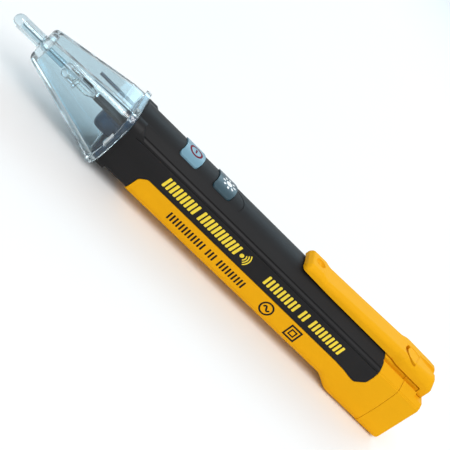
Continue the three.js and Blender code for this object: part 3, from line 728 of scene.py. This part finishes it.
# ---- housings
COLLAR_FRONT_X = FLANGE_REAR_X + GAP
COLLAR_REAR_X = -39.05
COLLAR_LOW = 2.1
COLLAR_TOP = 22.75
COLLAR_RADIUS = 4.0
FRONT_LOW = 3.65
BOSS_FRONT_X = -50.4
BOSS_RADIUS = 4.1
BOSS_Z = 11.7
HOLDER_SLOT_Z = (13.7, 15.6)
HOLDER_SLOT_HALF = 2.5
# Size of a thin bar inside the nose, which shows through it as a dark streak beside the lamps' holder
STREAK_BAR_Y = (4.2, 5.5)
STREAK_BAR_Z = (17.4, 18)
WINDOW_PLAY = 0.16
WINDOW_CORNER = 1.35
WINDOW_FLOOR_Z = 20.4
PARTING_Z = 11.75
TRAY_FRONT_X = LOWER_LOW.x
BULGE_START_X = 56.4
BULGE_FULL_X = 64.4
BULGE_LOW = 0.15
SEAM_X = LOWER_HIGH.x + 0.4
SEAM_BOW = 200.0
HAIRLINE = 0.08
SKIRT_PLAY = 0.25
SKIRT_WALL = 1.2
REAR_WALL = 2.1
REAR_THICK = 5.8
DEEP_ROOM_TOP = 19.2
CELL_ROOM = (81.5, 5.6)  # where it ends along X, and its radius
HEAD_ROOM = (4.9, 2.3)  # the same for the screw's head, along Z

# The slot in the body's top round the clip's root
CLIP_SEAT_Z = CLIP_LOW.z
CLIP_SEAT_GAP = 0.25
CLIP_SLOT_END_X = 84.1
CHANNEL_INNER = 5.9
CHANNEL_OUTER = 7.3
CHANNEL_FLOOR = 21.4

screw_low, screw_high = node_box("housing_screw")
SCREW_X = (screw_low.x + screw_high.x) / 2
cell_low, cell_high = node_box("rear_battery")
CELL_Z = (cell_low.z + cell_high.z) / 2

BODY = body_outline(edge="groove")
FRONT_BODY = body_outline(FRONT_LOW, edge="groove")
PLAIN_BODY = body_outline()
BULGE_BODY = body_outline(0, edge="crease", side_top=YELLOW_SIDE_TOP)
CAVITY = inset(body_outline(corner=3.2, edge="sharp"), WALL)
COLLAR = rounded_rect(HALF_WIDTH, COLLAR_LOW, COLLAR_TOP, COLLAR_RADIUS)

# The black housing's edge in side view; everything ahead of it and above it is black
BLACK_EDGE = fillet(
    [
        (-FAR, -FAR), (TRAY_FRONT_X - 0.15, -FAR), (TRAY_FRONT_X - 0.15, 4.8),
        (TRAY_FRONT_X + 0.4, 9.7), (TRAY_FRONT_X + 2.75, PARTING_Z),
        (57, PARTING_Z - 0.15), (61, PARTING_Z - 0.4), (64.3, 10.85), (66.25, 10.75),
        (68.95, 13.6), (69, 16.5), (68.75, 19), (68.2, 21.5), (66.9, 23.3),
        (65.37, CREST + 0.15), (65.37, FAR), (-FAR, FAR),
    ],
    [0, 0, 1.2, 1.6, 2.2, 6, 6, 3, 1, 1.2, 4, 5, 4, 3, 0, 0, 0],
)

# Push buttons: half sizes, the radius of their ends, and the lip round their foot
KEY_HALF_X = 3.75
KEY_HALF_Y = 5.8
KEY_END_RADIUS = 19.0
KEY_LIP = 0.8
KEY_LIP_HEIGHT = 0.7
KEY_PROUD = 0.44


def key_centre(high):
    """X of a button's middle on the crest, from the highest corner of its CAD node."""
    return high.x - KEY_LIP - KEY_HALF_X


def key_plan(centre, grow, corner):
    """Plan outline of a button, whose two ends are arcs that bulge towards the battery cap."""
    half_x, half_y = KEY_HALF_X + grow, KEY_HALF_Y + grow
    sweep = math.degrees(math.asin(half_y / KEY_END_RADIUS))
    steps = 4
    rear = arc(centre + half_x - KEY_END_RADIUS, 0, KEY_END_RADIUS, -sweep, sweep, steps)
    front = arc(centre - half_x - KEY_END_RADIUS, 0, KEY_END_RADIUS, sweep, -sweep, steps)
    radii = [corner, *[0] * (steps - 1), corner] * 2
    return fillet(rear + front, radii)


def collar_runout():
    """The short wedge behind the collar on which the shoulder's chamfer starts."""
    start, top = COLLAR_REAR_X - 0.5, 22.3
    view = [(start, 19), (-37.6, 19), (-36.7, 19.8), (-38.5, 21.6), (COLLAR_REAR_X - 0.1, top), (start, top)]
    wedge = prism_x("wedge", inset(COLLAR, 0.02), start, -30)
    return keep(wedge, prism_y("view", view))


def make_spigot():
    """The square frame that the nose slides over."""
    size = NOSE_BASE_HALF - NOSE_WALL - GAP
    wall, corner = 1.3, 3.0
    start, end = COLLAR_FRONT_X - 2.1, COLLAR_FRONT_X + 0.5

    def outline(shrink):
        half = size - shrink
        return rounded_rect(half, NOSE_BASE_Z - half, NOSE_BASE_Z + half, corner - shrink / 2)

    return cut(prism_x("spigot", outline(0), start, end), prism_x("hole", outline(wall), start - 1, end + 1))


def make_boss():
    """The round boss behind the lamps, flat on top for their holder."""
    boss_round = 2.2
    end = COLLAR_FRONT_X + 0.8
    edge = arc(BOSS_FRONT_X + boss_round, BOSS_RADIUS - boss_round, boss_round, 180, 90, 8)
    profile = [(BOSS_FRONT_X, 0), *edge, (end, BOSS_RADIUS), (end, 0)]
    boss = turned("boss", profile, (0, 0, BOSS_Z), sides=64)
    return cut(boss, block("flat", -60, COLLAR_FRONT_X + 0.2, -FAR, FAR, HOLDER_SLOT_Z[0], FAR))


def make_swoosh():
    """A fine curved groove beside the torch button."""
    centre_x, centre_y, radius, width, depth = -4.5, -3.2, 4.6, 0.32, 0.2
    outer = arc(centre_x, centre_y, radius + width / 2, -35, 76, 20)
    inner = arc(centre_x, centre_y, radius - width / 2, 76, -35, 20)
    groove = prism_z("groove", outer + inner, 15, 30)
    return cut(groove, prism_x("under", inset(body_outline(edge="sharp"), depth), -20, 20))


def make_upper():
    """The black housing: collar, boss and spigot at its front, and a window for each button."""
    sections = (
        (COLLAR_FRONT_X + 0.1, FRONT_BODY), (TRAY_FRONT_X + 1, FRONT_BODY),
        (TRAY_FRONT_X + 2, BODY), (75, BODY),
    )
    shell = loft("case_upper", [[(x, y, z) for y, z in outline] for x, outline in sections])
    join(shell, prism_x("collar", COLLAR, COLLAR_FRONT_X, COLLAR_REAR_X), collar_runout())
    keep(shell, prism_y("view", BLACK_EDGE))
    front_room = inset(body_outline(FRONT_LOW, 3.2, "sharp"), WALL)
    cut(
        shell,
        prism_x("front_room", front_room, COLLAR_FRONT_X + WALL, TRAY_FRONT_X + 5),
        prism_x("room", CAVITY, TRAY_FRONT_X - 1, 75),
    )
    for high in (POWER_HIGH, TORCH_HIGH):
        plan = key_plan(key_centre(high), WINDOW_PLAY, WINDOW_CORNER)
        cut(shell, prism_z("window", plan, WINDOW_FLOOR_Z, 30))
    cut(shell, make_swoosh())
    join(shell, make_boss(), make_spigot())
    # A thin bar joined to the housing's front, inside the nose; through the clear nose it shows as a dark
    # streak
    join(shell, block("streak_bar", UPPER_LOW.x, COLLAR_FRONT_X + 1, *STREAK_BAR_Y, *STREAK_BAR_Z))
    cut(shell, block("slot", -60, -35, -HOLDER_SLOT_HALF, HOLDER_SLOT_HALF, *HOLDER_SLOT_Z))
    saddle(shell, COLLAR_FRONT_X, COLLAR_REAR_X - 0.3)
    soften(shell, 0.14)
    paint(shell, BLACK, NAVY)
    for polygon in shell.data.polygons:
        x, _, z = polygon.center / MM
        rise = (z - FLANGE_HALF) / FLANGE_HALF
        polygon.material_index = int(x + SADDLE * rise * rise < COLLAR_FRONT_X - 0.2)
    return shell


upper = make_upper()
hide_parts("upper_housing")
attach(upper, "tester_body")


def seam_line(offset):
    """The slightly bowed seam before the battery cap, from the underside up, moved along X."""
    heights = [-1.0 + k for k in range(27)]
    return [(SEAM_X - (z - 9) ** 2 / SEAM_BOW + offset, z) for z in heights]


def smoothstep(x, start, end):
    """Rises softly from 0 at start to 1 at end."""
    share = min(max((x - start) / (end - start), 0.0), 1.0)
    return share * share * (3 - 2 * share)


def clip_channels():
    """Two shallow channels in the body's top that free the edges of the clip's root."""
    start, end = UPPER_HIGH.x - 3, CLIP_SLOT_END_X
    channels = []
    for side in (-1, 1):
        inner, outer = side * CHANNEL_INNER, side * CHANNEL_OUTER
        outline = fillet([(start, inner), (start, outer), (end, outer), (end, inner)], [0, 0, 0.9, 0.6])
        channels.append(prism_z("channel", outline, CHANNEL_FLOOR, 40))
    return channels


def make_lower():
    """The yellow housing: its underside drops to the rear bulge in a smooth curve."""
    rings = []
    for x in (TRAY_FRONT_X, *spread(BULGE_START_X, BULGE_FULL_X, 16), 80):
        low = BULGE_LOW + (LOW - BULGE_LOW) * (1 - smoothstep(x, BULGE_START_X, BULGE_FULL_X))
        outline = body_outline(low, edge="crease", side_top=YELLOW_SIDE_TOP)
        rings.append([(x, y, z) for y, z in outline])
    shell = loft("case_lower", rings)
    view = [(TRAY_FRONT_X - 1, -1), *seam_line(-HAIRLINE), (TRAY_FRONT_X - 1, 25)]
    keep(shell, prism_y("view", view))
    cut(
        shell,
        prism_y("black", inset(BLACK_EDGE, -0.2)),
        prism_x("room", CAVITY, TRAY_FRONT_X + WALL, 85),
        turned("head_room", rod(-1, *HEAD_ROOM), (SCREW_X, 0, 0), "Z"),
        *clip_channels(),
    )
    soften(shell, 0.14)
    return paint(shell, YELLOW)


lower = make_lower()
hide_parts("lower_housing")
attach(lower, "tester_body")


def make_cap():
    """The battery cap: a closed shell with a skirt that slides into the body."""
    corner = 2.0
    view = [
        (66, CREST + 1), (66, -1), *arc(END_X - corner, corner, corner, -90, 0, 10),
        (END_X, 18.6), (END_X - 0.12, 20.2), (END_X - 0.4, 22), (END_X - 0.7, CREST + 1),
    ]
    cap = prism_x("cap_shell", BULGE_BODY, 70, END_X)
    keep(cap, prism_y("view", view))
    before_seam = [(60, -1), *seam_line(HAIRLINE), (60, 25)]
    cut(cap, prism_y("before_seam", before_seam), *clip_channels())
    join(cap, prism_x("skirt", inset(CAVITY, SKIRT_PLAY), CAP_LOW.x, SEAM_X + 0.9))
    inside = inset(body_outline(corner=4.4, edge="sharp"), WALL + SKIRT_PLAY + SKIRT_WALL)
    deep = prism_x("deep_room", inside, 60, END_X - REAR_WALL)
    keep(deep, block("limit", 50, 100, -20, 20, 0, DEEP_ROOM_TOP))
    cut(
        cap,
        prism_x("room", inside, 60, END_X - REAR_THICK),
        deep,
        turned("cell_room", rod(60, *CELL_ROOM), (0, 0, CELL_Z), sides=64),
        block("seat", CLIP_SLOT_END_X - 0.15, 100, -20, 20, CLIP_SEAT_Z - CLIP_SEAT_GAP, 40),
    )
    soften(cap, 0.3, 4)
    return paint(cap, YELLOW)


cap = make_cap()
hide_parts("battery_cap")
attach(cap, "battery_cap")


# ---- pocket clip
CLIP_FRONT_X = CLIP_LOW.x
CLIP_REAR_X = CLIP_HIGH.x + 0.4
CLIP_HALF = 5.5
CLIP_ROOT_HALF = CLIP_HIGH.y
CLIP_TOP = CLIP_HIGH.z
CLIP_END_TOP = 27.35
CLIP_EDGE = 2.2
CLIP_ROOT_EDGE = 3.7
FOOT_TOP = 24.3
THUMB_CENTRE = (75.6, -1.7)
THUMB_RADIUS = 4.1
THUMB_DEPTH = 0.28
CRESCENT_FLOOR = 25.6
VALLEY_PROFILE = [(0, 0), (0.5, 0.6), (3, 1.1), (9, 1.7), (13, 1.9), (13, 0)]
VALLEY_START = (77.8, 1.2, CLIP_TOP + 0.2)
VALLEY_TURN = math.radians(-9)
DIMPLE_CENTRE = (31.3, 0.2, CLIP_END_TOP)
DIMPLE_PROFILE = [
    (-0.25, 0), (-0.33, 0.35), (-0.6, 0.65), (-0.85, 0.85), (-0.85, 1.2),
    (-0.6, 1.6), (0, 1.95), (3, 2.2), (3, 0),
]

# The clip's top, half width and underside along X
CLIP_TOP_LINE = fillet(
    [
        (CLIP_FRONT_X, 25.0), (CLIP_FRONT_X + 0.2, 26.0), (CLIP_FRONT_X + 1.3, CLIP_END_TOP - 0.05),
        (33.4, CLIP_END_TOP + 0.05), (36, CLIP_END_TOP - 0.6), (50, 27.25),
        (70.2, 27.95), (73, 28.2), (CLIP_REAR_X - 2.0, CLIP_TOP), (CLIP_REAR_X, 24.4),
    ],
    [0, 0.8, 1.2, 1.5, 1.5, 20, 3, 4, 1.0, 0],
    8,
)
CLIP_WIDTH_LINE = fillet(
    [
        (CLIP_FRONT_X, 3.2), (CLIP_FRONT_X + 0.3, CLIP_HALF), (69.6, CLIP_HALF),
        (72.2, CLIP_ROOT_HALF), (CLIP_REAR_X - 0.1, CLIP_ROOT_HALF), (CLIP_REAR_X, 5.2),
    ],
    [0, 2.2, 3, 3, 0.8, 0],
    8,
)
CLIP_LOW_LINE = [
    (CLIP_FRONT_X, 24.2), (40, 23.8), (66, 23.7), (72.5, 23.55),
    (83.8, 23.4), (84.4, 22.8), (CLIP_REAR_X, 22.8),
]


def value_at(line, x):
    """The value at x of a line of (x, value) points."""
    for (x0, a), (x1, b) in zip(line, line[1:]):
        if x <= x1:
            return a + (b - a) * max(x - x0, 0) / max(x1 - x0, TINY)
    return line[-1][1]


def clip_ring(x):
    """The clip's section at x, flat below and with round upper edges."""
    half, top, low = (value_at(line, x) for line in (CLIP_WIDTH_LINE, CLIP_TOP_LINE, CLIP_LOW_LINE))
    edge = CLIP_EDGE + (CLIP_ROOT_EDGE - CLIP_EDGE) * smoothstep(x, 74, 86)
    radius = min(edge, (top - low) * 0.66)
    steps = 6
    outline = [(-half, low), (half, low)]
    outline += arc(half - radius, top - radius, radius, 0, 90, steps)
    outline += arc(-half + radius, top - radius, radius, 90, 180, steps)
    return [(x, y, z) for y, z in outline]


def thumb_dish():
    """A very shallow D-shaped hollow on the clip's root."""
    outline = arc(*THUMB_CENTRE, THUMB_RADIUS, 125, 290, 24) + [(76.6, -3.6), (78.2, 0.3), (75.8, 1.5)]
    return prism_z("thumb_dish", outline, CLIP_TOP - THUMB_DEPTH, CLIP_TOP + 3)


def thumb_crescent():
    """A deep crescent slot along the front and the near side of the hollow."""
    outer = arc(*THUMB_CENTRE, THUMB_RADIUS, 130, 283, 24)
    inner = arc(THUMB_CENTRE[0] + 0.5, THUMB_CENTRE[1], THUMB_RADIUS - 0.65, 278, 135, 24)
    return prism_z("crescent", outer + inner, CRESCENT_FLOOR, CLIP_TOP + 3)


def rear_valley():
    """A slanting hollow that runs out over the clip's rear edge."""
    valley = turned("valley", VALLEY_PROFILE, (0, 0, 0))
    turn = Matrix.Rotation(VALLEY_TURN, 4, "Z")
    valley.data.transform(Matrix.Translation(Vector(VALLEY_START) * MM) @ turn)
    return valley


def rear_trim():
    """What is left of the clip's root in plan: its rear edge slants and the near corner is well rounded."""
    half = CLIP_ROOT_HALF + 0.5
    rear = [(CLIP_REAR_X - 0.9, -half), (CLIP_REAR_X - 0.45, -4.5), (CLIP_REAR_X - 0.1, half)]
    outline = fillet([(0, -half), *rear, (0, half)], [0, 0.9, 2, 2, 0], 8)
    return prism_z("trim", outline, 20, 40)


def make_clip():
    """The clip in one moulding, from the dimpled end to the root that sits on the cap."""
    stations = sorted({round(x, 2) for x, _ in CLIP_TOP_LINE + CLIP_WIDTH_LINE + CLIP_LOW_LINE})
    clip = loft("clip_spring", [clip_ring(x) for x in stations])
    cut(clip, prism_x("body_room", inset(PLAIN_BODY, -0.5), 0, CLIP_SLOT_END_X))
    foot_x, foot_z = (CLIP_SLOT_END_X, CLIP_REAR_X), (CLIP_SEAT_Z, FOOT_TOP)
    join(clip, block("foot", *foot_x, -CLIP_ROOT_HALF, CLIP_ROOT_HALF, *foot_z))
    keep(clip, rear_trim())
    dimple = turned("dimple", DIMPLE_PROFILE, DIMPLE_CENTRE, "Z")
    cut(clip, dimple, thumb_dish(), thumb_crescent(), rear_valley())
    soften(clip, 0.18, 3, 35)
    return paint(clip, YELLOW)


clip = make_clip()
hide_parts("pocket_clip")
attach(clip, "pocket_clip")


# ---- push buttons
def make_key(name, low, high, material):
    """A button with a lip round its foot, which holds it under the body's top."""
    centre = key_centre(high)
    lip, stem = key_plan(centre, KEY_LIP, 0.9), key_plan(centre, 0, 1.3)
    lip_top = low.z + KEY_LIP_HEIGHT
    rings = [(lip, low.z), (lip, lip_top), (stem, lip_top), (stem, CREST + 2)]
    key = loft(name, [[(x, y, z) for x, y in plan] for plan, z in rings])
    reach = 8
    keep(key, prism_x("skin", inset(PLAIN_BODY, -KEY_PROUD), centre - reach, centre + reach))
    soften(key, 0.35, 4)
    return paint(key, material)


for body, low, high, material, slot in (
    ("power_button", POWER_LOW, POWER_HIGH, POWER_PLASTIC, "power_button_plastic"),
    ("torch_button", TORCH_LOW, TORCH_HIGH, TORCH_PLASTIC, "torch_button_plastic"),
):
    key = make_key(body.replace("button", "key"), low, high, material)
    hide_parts(body)
    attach(key, body)


# ---- printed marks
INK = 0.03
SIGNAL = (9.7, 15.3)
AC_MARK = (28.4, 7.9)
SQUARE_MARK = (40.4, 7.95)
POWER_X = key_centre(POWER_HIGH)
TORCH_X = key_centre(TORCH_HIGH) + 0.3
RAY_REACH = 2.15


def merged(name, pieces, material, body="tester_body"):
    """Joins separate small meshes into one printed piece."""
    bm = bmesh.new()
    for piece in pieces:
        bm.from_mesh(piece.data)
        bpy.data.objects.remove(piece)
    mesh = bpy.data.meshes.new(name)
    bm.to_mesh(mesh)
    bm.free()
    obj = add_object(name, mesh)
    paint(obj, material)
    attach(obj, body)


def side_mark(outline):
    """A thin printed patch on the near side face, from an (x, z) outline."""
    return prism_y("patch", outline, -HALF_WIDTH - INK, -HALF_WIDTH + INK)


def side_ring(centre, radius, width, start, end):
    """A part of a printed ring, inside its radius."""
    steps = 20
    outer = arc(*centre, radius, start, end, steps)
    return side_mark(outer + arc(*centre, radius - width, end, start, steps))


def tally(groups, x, z, height, width, pitch, space, slant=0.0):
    """Groups of upright bars with round corners, a plain stand-in for printed words."""
    low, high = z - height / 2, z + height / 2
    patches = []
    for count in groups:
        for _ in range(count):
            foot, head = x - slant * height / 2, x + slant * height / 2
            outline = [(foot, low), (foot + width, low), (head + width, high), (head, high)]
            patches.append(side_mark(fillet(outline, [width * 0.3] * 4, 3)))
            x += pitch
        x += space
    return patches


front_marks = tally((9, 11), -23.4, 15.5, height=3.9, width=1.0, pitch=1.54, space=1.1, slant=0.1)
rear_marks = tally((9, 2, 9), 20.6, 15.3, height=3.6, width=0.98, pitch=1.62, space=1.5)
rating_marks = tally((12, 3, 9), -15, 8.0, height=2.8, width=0.65, pitch=1.3, space=1.1)
waves = [side_ring(SIGNAL, radius, 0.4, -45, 45) for radius in (1.7, 2.5, 3.3)]
merged("front_marks", front_marks, YELLOW_INK)
merged("rear_marks", rear_marks, YELLOW_INK)
merged("signal_mark", [side_mark(arc(*SIGNAL, 0.75, 0, 330, 11)), *waves], YELLOW_INK)
merged("rating_marks", rating_marks, BLACK_INK)


def wave_outline(x, z, length, height, width):
    """A sine wave as a thin band."""
    upper, lower = [], []
    for share in spread(0, 1, 16):
        px = x + length * (share - 0.5)
        pz = z + height / 2 * math.sin(2 * math.pi * share)
        slope = math.pi * height / length * math.cos(2 * math.pi * share)
        scale = width / 2 / math.hypot(1, slope)
        upper.append((px - scale * slope, pz + scale))
        lower.append((px + scale * slope, pz - scale))
    return lower + upper[::-1]


halves = [side_ring(AC_MARK, 2.6, 0.62, start, start + 178) for start in (90, -90)]
wave = side_mark(wave_outline(*AC_MARK, length=2.7, height=1.4, width=0.6))
merged("alternating_mark", [*halves, wave], BLACK_INK)


def square_frame(half, width):
    """A printed square with a square hole."""
    x, z = SQUARE_MARK

    def square(reach):
        return [(x + reach * i, z + reach * j) for i, j in ((-1, -1), (1, -1), (1, 1), (-1, 1))]

    return cut(side_mark(square(half)), prism_y("hole", square(half - width)))


squares = [square_frame(2.45, 0.62), square_frame(1.25, 0.5)]
merged("double_square_mark", squares, BLACK_INK)


def crown_z(y, proud):
    """Height of the arched top at y, for a skin that stands proud of the body."""
    return CREST - CROWN_RADIUS + math.sqrt((CROWN_RADIUS + proud) ** 2 - y * y)


def crown_patch(rows):
    """A thin printed patch on a button's arched top, from rows of (x, y) points."""
    rings = []
    for row in rows:
        top = [(x, y, crown_z(y, KEY_PROUD + INK)) for x, y in row]
        rings.append(top + [(x, y, crown_z(y, KEY_PROUD - 2 * INK)) for x, y in reversed(row)])
    return loft("patch", rings)


def crown_ring(x, radius, width, start, end, steps=32):
    """A part of a ring round a button's middle, inside its radius."""
    radii = (radius, radius - width / 2, radius - width)
    arcs = [arc(x, 0, r, start, end, steps) for r in radii]
    return crown_patch(list(zip(*arcs)))


def crown_bar(x, distance, angle, length, width):
    """A bar that points away from (x, 0) at an angle in degrees, with its middle at a distance."""
    direction = Vector((math.cos(math.radians(angle)), math.sin(math.radians(angle))))
    across = Vector((-direction.y, direction.x))
    rows = []
    for share in spread(-0.5, 0.5, 5):
        centre = Vector((x, 0)) + direction * (distance + length * share)
        rows.append([tuple(centre + across * width * side) for side in (-0.5, 0, 0.5)])
    return crown_patch(rows)


power = [crown_ring(POWER_X, 2.6, 0.72, start, start + 179) for start in (-90, 90)]
power.append(crown_bar(POWER_X, 0, 90, 1.9, 0.6))
sun = [crown_bar(TORCH_X, RAY_REACH, 45 * ray, 0.95, 0.7) for ray in range(8)]
sun.append(crown_ring(TORCH_X, 1.15, 1.12, 0, 359.5, 24))
merged("power_symbol", power, RED_INK, "power_button")
merged("torch_symbol", sun, WHITE_INK, "torch_button")


# ---- remaining CAD nodes
INNER_LOOKS = (
    (BOARD, "circuit_board"),
    (COMPONENT, "power_switch torch_switch detector_chip buzzer"),
    (CAN, "supply_capacitor"),
    (JACKET, "front_battery rear_battery"),
    (STEEL, "front_contact rear_contact contact_strip housing_screw board_screw_left board_screw_right"),
)
for material, nodes in INNER_LOOKS:
    for node in nodes.split():
        paint(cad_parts[node], material)


# ---- floor, light and camera
def make_floor():
    """A wide pale floor just under the tester."""
    reach, z = 3000, -0.02
    corners = [(-reach, -reach, z), (reach, -reach, z), (reach, reach, z), (-reach, reach, z)]
    floor = new_object("floor", corners, [(0, 1, 2, 3)])
    material, tree, shader = node_tree("pale_floor")
    tint(tree, shader, noise(tree, scale=3), (0.9, 0.9, 0.9), (0.93, 0.93, 0.93))
    shader.inputs["Roughness"].default_value = 0.9
    paint(floor, material)


make_floor()


def area_light(name, place, aim, size, power, colour=(1, 1, 1), glints_only=False):
    """A soft light; one for glints only lights no matt surface."""
    light = bpy.data.lights.new(name, "AREA")
    light.shape = "RECTANGLE"
    light.size, light.size_y = size
    light.energy = power
    light.color = colour
    obj = add_object(name, light)
    obj.location = Vector(place)
    obj.rotation_euler = (Vector(aim) - Vector(place)).to_track_quat("-Z", "Y").to_euler()
    obj.visible_diffuse = not glints_only


area_light("key_light", place=(0.12, -0.35, 0.75), aim=(0, 0, 0), size=(0.7, 0.7), power=3.0)
rim_colour = (0.55, 0.84, 1.0)
area_light("rim_light", (0.3, 0.55, 0.45), aim=(0, 0, 0.01), size=(0.8, 0.3), power=2.0, colour=rim_colour)
glint_place = (-0.06, -0.36, 0.72)
area_light("glint_light", glint_place, (-0.06, 0, 0.01), size=(0.5, 0.25), power=4.2, glints_only=True)

scene = bpy.context.scene
scene.world = bpy.data.worlds.new("studio")
scene.world.use_nodes = True
background = scene.world.node_tree.nodes["Background"]
background.inputs["Color"].default_value = (1, 1, 1, 1)
background.inputs["Strength"].default_value = 0.68
scene.cycles.max_bounces = 24
scene.cycles.glossy_bounces = 16
scene.cycles.transmission_bounces = 24
scene.view_settings.view_transform = "Standard"
scene.view_settings.look = "None"


def make_camera():
    """Looks down at the near side, rolled so that the tester runs from top left to bottom right."""
    azimuth, elevation, roll = (math.radians(a) for a in (-15.56, 25.78, 51.13))
    distance, target = 0.32985, Vector((0, 0, 0.013))
    level = math.cos(elevation)
    back = Vector((math.sin(azimuth) * level, -math.cos(azimuth) * level, math.sin(elevation)))
    right = (-back).cross(Vector((0, 0, 1))).normalized()
    up = right.cross(-back)
    turned_right = right * math.cos(roll) + up * math.sin(roll)
    turned_up = -right * math.sin(roll) + up * math.cos(roll)
    data = bpy.data.cameras.new("camera")
    data.sensor_width = 36
    data.lens = 84.05
    data.shift_x = 0.0107
    data.shift_y = -0.0065
    data.clip_start = 0.01
    camera = add_object("camera", data)
    axes = Matrix((turned_right, turned_up, back)).transposed()
    camera.matrix_world = Matrix.Translation(target + back * distance) @ axes.to_4x4()
    scene.camera = camera


make_camera()
